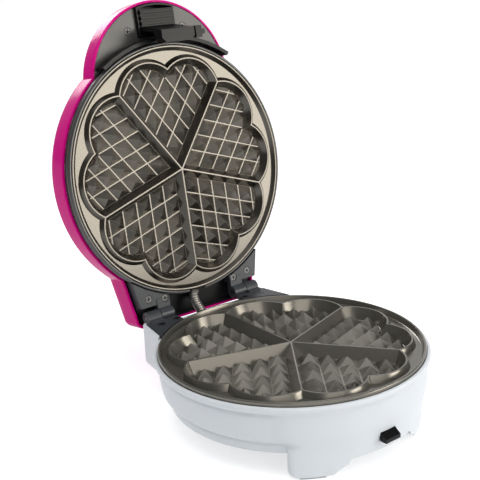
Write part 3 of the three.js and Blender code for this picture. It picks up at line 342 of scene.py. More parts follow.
def form(verts, faces):
    """A closed mesh with its faces outwards."""
    mesh = bpy.data.meshes.new("form")
    mesh.from_pydata(verts, [], faces)
    bm = bmesh.new()
    bm.from_mesh(mesh)
    bmesh.ops.remove_doubles(bm, verts=bm.verts, dist=MERGE)
    bmesh.ops.triangulate(bm, faces=bm.faces)
    bmesh.ops.recalc_face_normals(bm, faces=bm.faces)
    if bm.calc_volume(signed=True) < 0:
        bmesh.ops.reverse_faces(bm, faces=bm.faces)
    bm.to_mesh(mesh)
    bm.free()
    return mesh


def turned(points, x=0, y=0, steps=ROUND):
    """A profile of radii and heights turned round an upright axis at x, y."""
    verts, rings, faces = [], [], []
    for r, z in points:
        count = 1 if r == 0 else steps
        rings.append(range(len(verts), len(verts) + count))
        for k in range(count):
            angle = 2 * math.pi * k / steps
            verts.append((x + r * math.cos(angle), y + r * math.sin(angle), z))
    pairs = list(zip(rings, rings[1:]))
    if points[0][0] or points[-1][0]:
        pairs.append((rings[-1], rings[0]))
    for a, b in pairs:
        for k in range(steps):
            n = (k + 1) % steps
            if len(a) > 1 and len(b) > 1:
                faces.append((a[k], a[n], b[n], b[k]))
            elif len(a) > 1:
                faces.append((a[k], a[n], b[0]))
            elif len(b) > 1:
                faces.append((a[0], b[n], b[k]))
    return form(verts, faces)


def joined(rings, endless=False):
    """Rings of equally many points joined by faces, filled at both ends unless endless."""
    count, total = len(rings[0]), len(rings)
    verts = [point for ring in rings for point in ring]
    faces = []
    if not endless:
        faces += [tuple(range(count)), tuple(range((total - 1) * count, total * count))]
    for ring in range(total if endless else total - 1):
        start, after = ring * count, (ring + 1) % total * count
        for k in range(count):
            n = (k + 1) % count
            faces.append((start + k, start + n, after + n, after + k))
    return form(verts, faces)


def lofted(layers):
    """Plan outlines at their heights, joined from one to the next."""
    return joined([[(x, y, z) for x, y in outline] for outline, z in layers])


def prism(outline, z0, z1):
    return lofted([(outline, z0), (outline, z1)])


def block(x0, x1, y0, y1, z0, z1):
    return prism([(x0, y0), (x1, y0), (x1, y1), (x0, y1)], z0, z1)


def disc(radius, z0, z1, x=0, y=0, steps=ROUND):
    return turned([(0, z0), (radius, z0), (radius, z1), (0, z1)], x, y, steps)


def moved(mesh, matrix):
    copy = mesh.copy()
    copy.transform(matrix)
    return copy


def spun(mesh, angle):
    return moved(mesh, Matrix.Rotation(angle, 4, "Z"))


def mirrored_outline(right):
    """The right half of an outline and its mirror image, in one run."""
    return right + [(-x, y) for x, y in reversed(right)]


def clamped(value):
    return min(max(value, 0), 1)


def eased(share):
    """A smooth step from 0 to 1."""
    return share * share * (3 - 2 * share)


def quarter_round(share):
    """How far a quarter circle of radius 1 has fallen at a share of its run."""
    return 1 - math.sqrt(max(1 - share * share, 0))


def combined(mesh, *steps):
    """Joins (+), cuts (-) or keeps (&) one mesh after another."""
    kinds = {"+": "UNION", "-": "DIFFERENCE", "&": "INTERSECT"}
    body = added("body", mesh)
    tools = []
    for kind, tool in steps:
        other = added("tool", tool)
        tools.append(other)
        step = body.modifiers.new("step", "BOOLEAN")
        step.operation = kinds[kind]
        step.solver = "MANIFOLD"
        step.object = other
    bpy.context.view_layer.update()
    depsgraph = bpy.context.evaluated_depsgraph_get()
    made = bpy.data.meshes.new_from_object(body.evaluated_get(depsgraph))
    for other in (body, *tools):
        bpy.data.objects.remove(other)
    return made


def shown(name, mesh, body, material, sharp=28, lid=False, standing=True):
    """Places and smooths a form and, if standing, lets it stand for the node of its name."""
    hinge = Matrix.Translation((0, -HINGE_BACK, -HINGE_HEIGHT))
    turn = Matrix.Rotation(-OPEN, 4, "X") if lid else Matrix.Identity(4)
    mesh.transform(Matrix.Translation(HINGE) @ Matrix.Scale(MM, 4) @ turn @ hinge)
    mesh.polygons.foreach_set("use_smooth", [True] * len(mesh.polygons))
    mesh.set_sharp_from_angle(angle=math.radians(sharp))
    mesh.materials.clear()
    mesh.materials.append(material)
    piece = added(f"{name}_form", mesh)
    weight = piece.modifiers.new("weight", "WEIGHTED_NORMAL")
    weight.keep_sharp = True
    if standing:
        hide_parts(name)
    if body:
        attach(piece, body)
    return piece


# Heart plates

PLATE = 100  # radius
RIM_TOP = 98.2  # radius where the rim starts to fall inwards
SHEET_DEPTH = 2.8
PLATE_GAP = 2  # between the plates with the lid closed
HEARTS = 5
HALF_WEDGE = math.pi / HEARTS
# The right one of a heart's two round lobes
LOBE_RADIUS = 29.3
LOBE_SIDE = 19
LOBE_FORWARD = 58.5
LOBE_STEPS = 26
LOBE_REACH = math.hypot(LOBE_SIDE, LOBE_FORWARD) + LOBE_RADIUS
RIDGE = 0.7  # half the width of the wall's top between a basin and the gutter
CELL = 13.4  # from one row of pyramids to the next
CELL_ROWS = 6
LINE = 1.0  # width of the flat line between two pyramids
LOWER = {
    "depth": 9.5, "wall": 4.2, "pyramid": 6.6, "gutter": 4.8, "run": 2, "slope": 1.4, "drop": 4.2,
}
UPPER = {
    "depth": 6, "wall": 3.5, "pyramid": 4.6, "gutter": 3, "run": 2.5, "slope": 2.1, "drop": 8.2,
}


def lobe(radius, inset):
    """A heart's right edge, from its straight side at the wedge's border to its notch."""
    along = LOBE_FORWARD * math.cos(HALF_WEDGE) + LOBE_SIDE * math.sin(HALF_WEDGE)
    across = LOBE_FORWARD * math.sin(HALF_WEDGE) - LOBE_SIDE * math.cos(HALF_WEDGE) - inset
    reach = along + math.sqrt(radius**2 - across**2)
    x = reach * math.sin(HALF_WEDGE) - inset * math.cos(HALF_WEDGE)
    y = reach * math.cos(HALF_WEDGE) + inset * math.sin(HALF_WEDGE)
    start = math.atan2(y - LOBE_FORWARD, x - LOBE_SIDE)
    notch = math.atan2(math.sqrt(radius**2 - LOBE_SIDE**2), -LOBE_SIDE)
    points = []
    for i in range(LOBE_STEPS + 1):
        angle = start + (notch - start) * i / LOBE_STEPS
        across, along = radius * math.cos(angle), radius * math.sin(angle)
        points.append((LOBE_SIDE + across, LOBE_FORWARD + along))
    return points


def heart(inset):
    """One heart's outline, drawn in by an inset."""
    right = lobe(LOBE_RADIUS - inset, inset)
    left = [(-x, y) for x, y in reversed(right[:-1])]
    return [(0, inset / math.sin(HALF_WEDGE)), *right, *left]


def flower(outset):
    """The outline round all hearts, set out from them."""
    right = lobe(LOBE_RADIUS + outset, 0)
    petal = right + [(-x, y) for x, y in reversed(right[1:-1])]
    points = []
    for k in range(HEARTS):
        c, s = math.cos(2 * HALF_WEDGE * k), math.sin(2 * HALF_WEDGE * k)
        points += [(x * c - y * s, x * s + y * c) for x, y in petal]
    return points


def pyramid_field(floor, height, inset):
    """Pyramids in slanting rows on a heart's floor, trimmed to the heart's walls."""
    edge = CELL / math.sin(2 * HALF_WEDGE)
    step_x, step_y = edge * math.sin(HALF_WEDGE), edge * math.cos(HALF_WEDGE)
    sunk = SHEET_DEPTH / 2
    low = floor - sunk
    swell = (CELL - LINE) / CELL * (height + sunk) / height
    a, b = step_x * swell, step_y * swell
    cells = []
    for i in range(CELL_ROWS):
        for j in range(CELL_ROWS):
            x = (i - j) * edge * math.sin(HALF_WEDGE)
            y = inset / math.sin(HALF_WEDGE) + (i + j + 1) * edge * math.cos(HALF_WEDGE)
            from_lobe = math.hypot(abs(x) - LOBE_SIDE, max(y - LOBE_FORWARD, 0))
            if from_lobe < LOBE_RADIUS - inset + edge / 2:
                base = [(x + a, y, low), (x, y + b, low), (x - a, y, low), (x, y - b, low)]
                sides = [(0, 1, 4), (1, 2, 4), (2, 3, 4), (3, 0, 4)]
                cells.append(form([*base, (x, y, floor + height)], [(0, 1, 2, 3), *sides]))
    border = inset + LINE / 2
    trim = lofted([
        (heart(border), low), (heart(border), floor), (heart(border + height / 2), floor + height),
    ])
    return combined(cells[0], *(("+", cell) for cell in cells[1:]), ("&", trim))


def heart_plate(size):
    """A plate that faces up: a shallow dish, the walls round its hearts, and their basins."""
    depth, gutter, drop, slope = size["depth"], size["gutter"], size["drop"], size["slope"]
    basin_under, gutter_under = -depth - SHEET_DEPTH, -gutter - SHEET_DEPTH
    dish = turned([
        (0, basin_under), (LOBE_REACH, basin_under), (LOBE_REACH, gutter_under),
        (RIM_TOP, gutter_under), (RIM_TOP, -drop),
        (PLATE, -drop), (PLATE, -1.0), (PLATE - 0.1, -0.6), (PLATE - 0.35, -0.25),
        (PLATE - 0.7, 0), (RIM_TOP + 0.2, 0),
        (RIM_TOP, -0.1), (RIM_TOP - slope, -gutter + 0.3), (RIM_TOP - slope - 0.5, -gutter),
        (0, -gutter),
    ])
    walls = lofted([
        (flower(RIDGE + size["run"]), gutter_under + SHEET_DEPTH / 2),
        (flower(RIDGE + size["run"]), -gutter),
        (flower(RIDGE + 0.15), -0.35),
        (flower(RIDGE - 0.2), 0),
    ])
    inset = RIDGE + size["wall"]
    basin = lofted([
        (heart(inset + 0.7), -depth),
        (heart(inset), -depth + 0.5),
        (heart(RIDGE + 0.1), -0.3),
        (heart(RIDGE - 0.15), 0),
        (heart(RIDGE - 0.15), OVER),
    ])
    field = pyramid_field(-depth, size["pyramid"], inset)
    turns = [math.pi + 2 * HALF_WEDGE * k for k in range(HEARTS)]
    basins = [("-", spun(basin, turn)) for turn in turns]
    fields = [("+", spun(field, turn)) for turn in turns]
    return combined(dish, ("+", walls), *basins, *fields)


face_down = Matrix.Translation((0, 0, PLATE_GAP)) @ Matrix.Rotation(math.pi, 4, "Y")
lower_plate = heart_plate(LOWER)
upper_plate = moved(heart_plate(UPPER), face_down)
shown("lower_plate", lower_plate, "base", LOWER_COAT)
shown("upper_plate", upper_plate, "lid", UPPER_COAT, lid=True)


# Outlines of the housing and the lid, seen from above

SMALLEST_CORNER = 0.3
CORNER_STEPS = 12
CROWDING = 0.8  # below 1, an arc's points stand closer towards its corners
BASE_REAR = {
    "front": 60, "shoulder": 70, "shoulder_half": 69,
    "back_half": 62.6, "back": 112.5, "corner": 8,
}
LID_TAIL = {
    "front": 60, "shoulder": 79, "shoulder_half": 67.2,
    "back_half": 60.2, "back": 122.2, "corner": 7,
}


def rear_outline(inset, front, shoulder, shoulder_half, back_half, back, corner):
    """The tapering part behind the round, with rounded corners at the back."""
    radius = max(corner - inset, SMALLEST_CORNER)
    half = back_half - inset
    right = [(shoulder_half - inset, front), (shoulder_half - inset, shoulder)]
    for i in range(CORNER_STEPS + 1):
        angle = math.pi / 2 * i / CORNER_STEPS
        x = half - radius + radius * math.cos(angle)
        right.append((x, back - inset - radius + radius * math.sin(angle)))
    return mirrored_outline(right)


def arc(inner, outer, half, steps, drop=0.0, length=1.0, soft=0.0):
    """A ring's sector about the front, whose outer corners fall away by drop over length.

    The fall is round where soft is 0 and eased where it is 1.
    """
    points = []
    start = half - length / outer
    for i in range(steps + 1):
        share = 2 * i / steps - 1
        angle = half * math.copysign(abs(share) ** CROWDING, share)
        t = clamped((abs(angle) - start) / (half - start))
        fall = (1 - soft) * quarter_round(t) + soft * eased(t)
        radius = outer - drop * fall
        points.append((radius * math.sin(angle), -radius * math.cos(angle)))
    for i in range(steps + 1):
        angle = half * (1 - 2 * i / steps)
        points.append((inner * math.sin(angle), -inner * math.cos(angle)))
    return points


# Base housing. WALL_OUT, INSIDE and BOWL are radii and heights, APRON is heights and radii.

WELL = 100.6  # radius of the opening for the lower plate
LIP_TOP = -3
WALL_OUT = [
    (101.9, LIP_TOP), (102.6, -3.25), (102.9, -4), (102.9, -5.6), (102.75, -6.6), (102.3, -7.4),
    (101.5, -8), (100.5, -8.5), (99.6, -8.9), (99.2, -9.4), (99.3, -10), (99.7, -10.8),
    (99.9, -11.9), (99.8, -15), (99.5, -18), (98.9, -23), (98.4, -26), (98.1, -28),
    (97.7, -29.4), (96.9, -30.6), (95.6, -31.7), (94.2, -32.6), (93.1, -33.3), (92.8, -33.9),
    (93.1, -34.6), (93.3, -35.4), (93.1, -37.2), (92.3, -40.3), (91.9, -41), (91.3, -41.5),
]
# The wall under its rounded upper edge, from below, as heights and radii
WALL_RUN = sorted((z, r) for r, z in WALL_OUT[3:])
# The flange that carries the bottom cover, and the room for the cover
FLANGE_LOW, FLANGE_TOP = -38.5, -35.5
FLANGE_IN = 74
COVER_ROOM = 87.1
COVER_LOW = -41.5
INSIDE = [
    (89.8, FLANGE_TOP), (89.8, -34.2), (93.8, -29), (96.4, -13.4),
    (96.5, -9.2), (98.5, -9.2), (98.5, -4.5), (WELL, -4.5),
]
# The round body that stays whole inside the rear extension
BOWL_RADIUS = 103
BOWL = [
    (0, -33.2), (93.4, -33.2), (96.2, -29), (97, -22), (98.8, -11),
    (BOWL_RADIUS, -9.6), (BOWL_RADIUS, LIP_TOP), (0, LIP_TOP),
]
# Insets and heights of the rear extension, rounded at its lower and upper edge
REAR_LEVELS = [(1.6, -33.2), (0.6, -32.7), (0, -31.6), (0, -1.7), (0.25, -1.1), (0.9, -0.8)]
REAR_WALL = 2.4
REAR_FLOOR = -30.8
APRON = [
    (-58, 96.4), (-50, 97.0), (-41, 97.8), (-36.6, 98.5), (-31.7, 99.5), (-27, 100.3),
    (-22, 100.7), (-17, 100.8), (-13.5, 100.8), (-11.5, 100.82), (-10.3, 100.9), (-9.3, 101.15),
    (-8.4, 101.6), (-7.5, 102.1),
]
LEG_LEVELS = [-58, -57.8, -57.3, -56.6, -55.6, -54.4, -53.2, -49]
APRON_LEVELS = [
    -45, -41.5, -39, -37, -35.5, -34, -32.5, -31, -29, -27, -25, -23, -21, -18, -15.5, -13.5,
    -11.5, -10.3, -9.3, -8.4, -7.5,
]
REAR_SKIRT_LEVELS = [-44, -40, -36, -32]
REAR_LEG_TOP = -32
LEG_ANGLE = 43.3  # degrees to each side of the middle
LEG_CORNER = 4.8  # size of the round corner at each side of a foot
LEG_CORNER_TOP = -53.2
LEG_OUT = 97  # a leg's radius, near enough
LEG_GAP = math.radians(17)  # half the open part between two legs
LEG_GAP_IN = 80
LEG_GAP_STEPS = 8
LEG_CORE_IN, LEG_CORE_OUT = 89.4, 93.1
LEG_CORE_BEND = -41
# A rear leg's outer radius at its top, and how far it leans in on its way down
LEAN_RADIUS = 98.6
LEAN_TOP = -14.3
LEAN = 2.2
LEAN_RUN = 43.7
# The drawn-in edge round the foot of a leg
FOOT_EDGE = 0.9
FOOT_EDGE_TOP = -57
# The legs' outer skins: inner radius, and how far their corners fall away over how much width
FRONT_SKIN_IN = 91
FRONT_SKIN_FALL = 3.6
REAR_SKIN_IN = 91.6
REAR_SKIN_FALL = 3.2
CORNER_RUN = 5
# The apron: how many degrees further it reaches than a leg, the height where it starts to widen,
# and how far above that it is at its widest and its corners are fully eased
APRON_SPREAD = 9
APRON_LOW = -38
APRON_RISE = 14
SOFT_RISE = 7
SOFT_RUN = 13  # how much wider the apron's corners are than a leg's
APRON_SUNK = 0.5  # how deep its corners end in the wall
LEAST_FALL = 0.1
ARCH_DEPTH = 106
# The right half of the arch between the front legs, as sides and heights
ARCH = [
    (42.5, BELOW), (41.2, -58), (38.9, -57), (37.4, -55.2), (30.7, -51.4),
    (30.2, -49.8), (29.2, -48.5), (27.8, -47.7), (26, -47.5),
]
FOOT_ANGLE = 33
FOOT_HALF = math.radians(5.5)
FOOT_MIDDLE = 95
FOOT_IN, FOOT_OUT = 89.7, 95.3
FOOT_TOP = -56.2
# Rooms as left, right, front, back, bottom and top
DECK_ROOM = (-58.5, 58.5, 101.3, 114.5, -7, OVER)
WIRE_WAY = (-16, 16, 92.2, 105.4, -29, -13.4)
BUTTON_MOUTH = (-7.3, 7.3, -104, -91.9, -40.5, -33.5)
BUTTON_THROAT = (-7.3, 7.3, -92.8, -89, -38.8, -33.5)
BUTTON_GUIDE = (-8.9, 8.9, -89.3, -79, -40.5, -33.5)
GLAND_RADIUS = 5.7
GLAND_SIDE = 34
GLAND_HEIGHT = -21
GLAND_FRONT, GLAND_BACK = 107.7, 114.5
SCREW_CIRCLE = 80.4
SCREW_RADIUS = 1.6
SCREW_LOW, SCREW_TOP = -40.5, -33.5
CONDUIT_HOLE = (-5.8, 102.8)
CONDUIT_RADIUS = 6
CONDUIT_LOW = -22
HOLE_STEPS = 40
SCREW_STEPS = 24


def between(points, z):
    """The radius at a height, from a run of heights and radii."""
    for (z0, r0), (z1, r1) in zip(points, points[1:]):
        if z <= z1:
            return r0 + (r1 - r0) * (z - z0) / (z1 - z0)
    return points[-1][1]


def leg_half(z):
    """Half the angle that a leg or the apron above it takes up at a height."""
    corner = clamped((LEG_CORNER_TOP - z) / LEG_CORNER)
    spread = clamped((z - APRON_LOW) / APRON_RISE)
    angle = math.radians(LEG_ANGLE + APRON_SPREAD * eased(spread))
    return angle - LEG_CORNER * quarter_round(corner) / LEG_OUT


def leg_radius(z):
    """The outer radius of a rear leg, which leans inwards to its foot."""
    return LEAN_RADIUS - LEAN * (LEAN_TOP - z) / LEAN_RUN


def leg_foot(z):
    """How far the edge round the foot of a leg is drawn in at a height."""
    return FOOT_EDGE * quarter_round(clamped(FOOT_EDGE_TOP - z))


def skirt():
    """The front legs' outer skin, which runs up into the apron and out into the round wall."""
    layers = []
    for z in LEG_LEVELS + APRON_LEVELS:
        soft = eased(clamped((z - APRON_LOW) / SOFT_RISE))
        foot, radius = leg_foot(z), between(APRON, z)
        into_wall = radius - between(WALL_RUN, z) + APRON_SUNK
        fall = max((1 - soft) * (FRONT_SKIN_FALL - foot) + soft * into_wall, LEAST_FALL)
        run = CORNER_RUN + SOFT_RUN * soft
        outline = arc(FRONT_SKIN_IN + foot, radius - foot, leg_half(z), 96, fall, run, soft)
        layers.append((outline, z))
    return lofted(layers)


def rear_skirt():
    """The rear legs' outer skin."""
    layers = []
    for z in LEG_LEVELS + REAR_SKIRT_LEVELS:
        foot = leg_foot(z)
        inner, outer, fall = REAR_SKIN_IN + foot, leg_radius(z) - foot, REAR_SKIN_FALL - foot
        layers.append((arc(inner, outer, leg_half(z), 64, fall, CORNER_RUN), z))
    middle = prism(arc(LEG_GAP_IN, 104, LEG_GAP, LEG_GAP_STEPS), BELOW, REAR_LEG_TOP + OVER)
    return spun(combined(lofted(layers), ("-", middle)), math.pi)


def legs(top, turn):
    """The inner core of a pair of legs."""
    levels = (*LEG_LEVELS, LEG_CORE_BEND, top)
    full = lofted([(arc(LEG_CORE_IN, LEG_CORE_OUT, leg_half(z), 32), z) for z in levels])
    middle = prism(arc(LEG_GAP_IN, 100, LEG_GAP, LEG_GAP_STEPS), BELOW, top + OVER)
    return spun(combined(full, ("-", middle)), turn)


def front_arch():
    """What is cut away between the front legs."""
    outline = mirrored_outline(ARCH)
    return joined([[(x, y, z) for x, z in outline] for y in (-ARCH_DEPTH, 0)])


def foot_room(side, turn):
    """The room for a rubber foot under a leg."""
    angle = side * math.radians(FOOT_ANGLE) + turn
    half = FOOT_HALF + FIT / FOOT_MIDDLE
    return spun(prism(arc(FOOT_IN, FOOT_OUT, half, 6), BELOW, FOOT_TOP), angle)


def rear_extension(cavity):
    """The part behind the round base, hollow and open to the rear deck."""
    full = lofted([(rear_outline(inset, **BASE_REAR), z) for inset, z in REAR_LEVELS])
    over_lip = disc(BOWL_RADIUS, LIP_TOP, OVER)
    outside = combined(full, ("-", cavity), ("-", over_lip), ("-", block(*DECK_ROOM)))
    hollow = prism(rear_outline(REAR_WALL, **BASE_REAR), REAR_FLOOR, OVER)
    return combined(outside, ("-", combined(hollow, ("-", turned(BOWL)))))


def housing_cuts():
    """The openings for wires, button, cord gland, conduit, feet and cover screws."""
    button = combined(
        block(*BUTTON_MOUTH), ("+", block(*BUTTON_THROAT)), ("+", block(*BUTTON_GUIDE))
    )
    place = Matrix.Translation((GLAND_SIDE, 0, GLAND_HEIGHT))
    lying = place @ Matrix.Rotation(-math.pi / 2, 4, "X")
    gland = moved(disc(GLAND_RADIUS, GLAND_FRONT, GLAND_BACK, steps=HOLE_STEPS), lying)
    conduit = disc(CONDUIT_RADIUS, CONDUIT_LOW, OVER, *CONDUIT_HOLE, HOLE_STEPS)
    feet = [foot_room(side, turn) for side in (-1, 1) for turn in (0, math.pi)]
    screws = []
    for k in (1, 3, 5, 7):
        angle = math.pi / 4 * k
        x, y = SCREW_CIRCLE * math.cos(angle), SCREW_CIRCLE * math.sin(angle)
        screws.append(disc(SCREW_RADIUS, SCREW_LOW, SCREW_TOP, x, y, SCREW_STEPS))
    return [block(*WIRE_WAY), button, gland, conduit, *feet, *screws]


def housing():
    """The white base: round wall with flange, rear extension, apron, legs and openings."""
    cavity = turned([(0, FLANGE_TOP), *INSIDE, (WELL, OVER), (0, OVER)])
    wall = turned([
        (WELL, LIP_TOP), *WALL_OUT, (COVER_ROOM, COVER_LOW), (COVER_ROOM, FLANGE_LOW),
        (FLANGE_IN, FLANGE_LOW), (FLANGE_IN, FLANGE_TOP), *INSIDE,
    ])
    extension = rear_extension(cavity)
    front = combined(skirt(), ("+", legs(FLANGE_LOW, 0)), ("-", front_arch()), ("-", cavity))
    rear = combined(legs(REAR_LEG_TOP, math.pi), ("+", rear_skirt()), ("-", cavity))
    parts = [("+", part) for part in (extension, front, rear)]
    return combined(wall, *parts, *(("-", cut) for cut in housing_cuts()))


# Lid

LID_RADIUS = 104
LID_LOW = 10
LID_WALL_TOP = 26
LID_CROWN = 50
LID_WALL = 2
LID_EDGE = 0.8
TONGUE_RADIUS = 65.3
TONGUE_FORWARD = 71.3
TONGUE_WALL_TOP = 24
TONGUE_CROWN = 38
TAIL_RISE = 13
TAIL_DRAW = 12  # how far the tail's top is drawn in
DOME_STEPS = 16
TAIL_STEPS = 10
EDGE_MIDDLE = 0.3  # where a rounded edge stands at its middle, as a share of its size
LAMP_HOLE = 3.5
LAMP_SIDE = 9
LAMP_FORWARD = 74
RING_PROFILE = [
    (100.3, 2.2), (101.4, 2.2), (102.8, 4.2), (102.8, 5.3),
    (101.4, 5.3), (101.4, 10.2), (100.3, 10.2),
]
# Where the ring round the upper plate is open, and the liner's edge, both as left, right, front,
# back, bottom and top
RING_GAP = (-10, 6, 98.3, 105, 0, 12.2)
LINER_EDGE = (-52, 52, 117.7, 120.1, 10.2, 13)
GROMMET_PLACE = (0.7, 105.3)
GROMMET_RADIUS = 7
GROMMET_BORE = 3.8
GROMMET_LOW, GROMMET_TOP = 10.9, 12.1
GROMMET_STEPS = 48


def dome(radius, low, wall_top, crown, y, edge):
    """A round wall with a softened lower edge, and a vault over it."""
    soft = edge * EDGE_MIDDLE
    points = [(0, low), (radius - edge, low), (radius - soft, low + soft), (radius, low + edge)]
    for i in range(DOME_STEPS):
        angle = math.pi / 2 * i / DOME_STEPS
        points.append((radius * math.cos(angle), wall_top + (crown - wall_top) * math.sin(angle)))
    return turned([*points, (0, crown)], 0, y)


def lid_form(inset, low, drop, edge):
    """The lid's round, tongue and tail, drawn in by an inset and with their tops dropped."""
    soft = edge * EDGE_MIDDLE
    layers = [(inset + edge, low), (inset + soft, low + soft), (inset, low + edge)]
    for i in range(TAIL_STEPS + 1):
        angle = math.pi / 2 * i / TAIL_STEPS
        draw = TAIL_DRAW * (1 - math.cos(angle))
        layers.append((inset + draw, LID_WALL_TOP + (TAIL_RISE - drop) * math.sin(angle)))
    tongue = dome(
        TONGUE_RADIUS - inset, low, TONGUE_WALL_TOP, TONGUE_CROWN - drop, -TONGUE_FORWARD, edge
    )
    return combined(
        dome(LID_RADIUS - inset, low, LID_WALL_TOP, LID_CROWN - drop, 0, edge),
        ("+", tongue),
        ("+", lofted([(rear_outline(gap, **LID_TAIL), z) for gap, z in layers])),
    )


def lid_shell():
    """The magenta shell, hollow, with holes for its two lamps."""
    room = lid_form(LID_WALL, LID_LOW - OVER, LID_WALL, 0.1)
    sides = (-LAMP_SIDE, LAMP_SIDE)
    lamps = [disc(LAMP_HOLE, LID_WALL_TOP, LID_CROWN + OVER, x, -LAMP_FORWARD, 32) for x in sides]
    return combined(lid_form(0, LID_LOW, 0, LID_EDGE), *(("-", cut) for cut in (room, *lamps)))


def plate_ring():
    """The ring round the upper plate, open where the conduit passes."""
    return combined(turned(RING_PROFILE), ("-", block(*RING_GAP)))


def liner_edge():
    """The upright edge at the back of the tail's liner."""
    return block(*LINER_EDGE)


def grommet():
    """The ring in the liner that the conduit passes through."""
    full = disc(GROMMET_RADIUS, GROMMET_LOW, GROMMET_TOP, *GROMMET_PLACE, GROMMET_STEPS)
    return combined(full, ("-", disc(GROMMET_BORE, 10, 13, *GROMMET_PLACE, GROMMET_STEPS)))


shown("conduit_grommet", grommet(), "lid", LINER, lid=True, standing=False)
shown("lid_tail_liner_edge", liner_edge(), "lid", LINER, lid=True, standing=False)
shown("base_housing", housing(), "base", WHITE, sharp=34)
shown("lid_shell", lid_shell(), "lid", MAGENTA, sharp=34, lid=True)
shown("upper_plate_ring", plate_ring(), "lid", RING_GREY, lid=True)


# Conduit, drawn with the lid open: its course from the lid down into the base

CONDUIT = [
    (2.2, 129.6, 3.2), (1.4, 127, 5.4), (-0.6, 122.8, 8.1), (-4.2, 118.6, 9.4), (-7.4, 114.4, 8.2),
    (-8.4, 110.4, 4.4), (-7.3, 106.2, -1.2), (-6, 103.5, -7.2), (*CONDUIT_HOLE, -14),
]
CURVE_STEPS = 40
HOSE_RIBS = 24
RIB_STEPS = 6
HOSE_SIDES = 28
HOSE_RADIUS = 3.62  # in the valleys between the ribs
RIB_HEIGHT = 0.36
HOSE_BORE = 2.9


def circle(centre, side, up, radius, sides):
    """Points on a circle between two directions at right angles."""
    angles = [2 * math.pi * k / sides for k in range(sides)]
    return [centre + side * radius * math.cos(a) + up * radius * math.sin(a) for a in angles]


def at_knot(first, second, start, end, at):
    """The point at a knot value between two points that stand at start and end."""
    return first * ((end - at) / (end - start)) + second * ((at - start) / (end - start))


def smooth_curve(points):
    """A centripetal curve through the points."""
    p = [Vector(point) for point in points]
    p = [2 * p[0] - p[1], *p, 2 * p[-1] - p[-2]]
    fine = []
    for i in range(1, len(p) - 2):
        t = [0.0]
        for k in range(3):
            t.append(t[-1] + math.sqrt((p[i + k] - p[i + k - 1]).length))
        for n in range(CURVE_STEPS):
            u = t[1] + (t[2] - t[1]) * n / CURVE_STEPS
            a = [at_knot(p[i - 1 + k], p[i + k], t[k], t[k + 1], u) for k in range(3)]
            b = [at_knot(a[k], a[k + 1], t[k], t[k + 2], u) for k in range(2)]
            fine.append(at_knot(b[0], b[1], t[1], t[2], u))
    fine.append(p[-2])
    return fine


def evenly(fine, steps):
    """Points at even lengths along a run of points."""
    lengths = [0.0]
    for a, b in zip(fine, fine[1:]):
        lengths.append(lengths[-1] + (b - a).length)
    route, at = [], 0
    for n in range(steps + 1):
        want = lengths[-1] * n / steps
        while at < len(fine) - 2 and lengths[at + 1] < want:
            at += 1
        share = (want - lengths[at]) / (lengths[at + 1] - lengths[at])
        route.append(fine[at].lerp(fine[at + 1], min(share, 1)))
    return route


def hose():
    """A metal hose with round ribs and a plain bore."""
    last = HOSE_RIBS * RIB_STEPS
    route = evenly(smooth_curve(CONDUIT), last)
    across = Vector((1, 0, 0))
    places = []
    for i, centre in enumerate(route):
        along = (route[min(i + 1, last)] - route[max(i - 1, 0)]).normalized()
        across = (across - along * across.dot(along)).normalized()
        places.append((centre, across.copy(), along.cross(across)))
    rings = []
    for i, place in enumerate(places):
        radius = HOSE_RADIUS + RIB_HEIGHT * math.sqrt(abs(math.sin(math.pi * i / RIB_STEPS)))
        rings.append(circle(*place, radius, HOSE_SIDES))
    rings += [circle(*place, HOSE_BORE, HOSE_SIDES) for place in reversed(places[::RIB_STEPS])]
    return joined(rings, endless=True)


conduit = shown("wiring_conduit", hose(), None, HOSE, sharp=50)
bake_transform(conduit)


# Spring behind the lower release button

SPRING_TURNS = 4
SPRING_STEPS = 96
SPRING_BACK = -86.7
SPRING_LENGTH = 7
SPRING_HEIGHT = -36.15
COIL_RADIUS = 1.7
WIRE_RADIUS = 0.4
WIRE_SIDES = 8


def release_spring():
    """A spring of round wire, coiled about the button's line of travel."""
    rings = []
    for i in range(SPRING_STEPS + 1):
        angle = 2 * math.pi * SPRING_TURNS * i / SPRING_STEPS
        out = Vector((math.cos(angle), 0, math.sin(angle)))
        start = Vector((0, SPRING_BACK + SPRING_LENGTH * i / SPRING_STEPS, SPRING_HEIGHT))
        centre = out * COIL_RADIUS + start
        rings.append(circle(centre, out, Vector((0, 1, 0)), WIRE_RADIUS, WIRE_SIDES))
    return joined(rings)


spring = shown("lower_release_spring", release_spring(), "base", STEEL, sharp=50)
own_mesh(spring)


# Stage and light, in metres

PURE_WHITE = (1, 1, 1, 1)
FLOOR_HALF = 6
FLOOR_COLOR = (0.9, 0.9, 0.9, 1)
FLOOR_GLOW = 0.55
ROOM_COLOR = (0.5, 0.52, 0.55, 1)
DARK_ROOM = 0.15
# Directions in which mirrored light comes: axis, cosines where it starts and is full, strength
MIRROR_ROOM = [
    ((0.6, 0.8, 0), 0.4, 0.8, 1.0),
    ((-0.25, -0.82, 0.51), 0.72, 0.93, 0.7),
    ((0, 0, 1), 0.8, 0.97, 0.9),
]


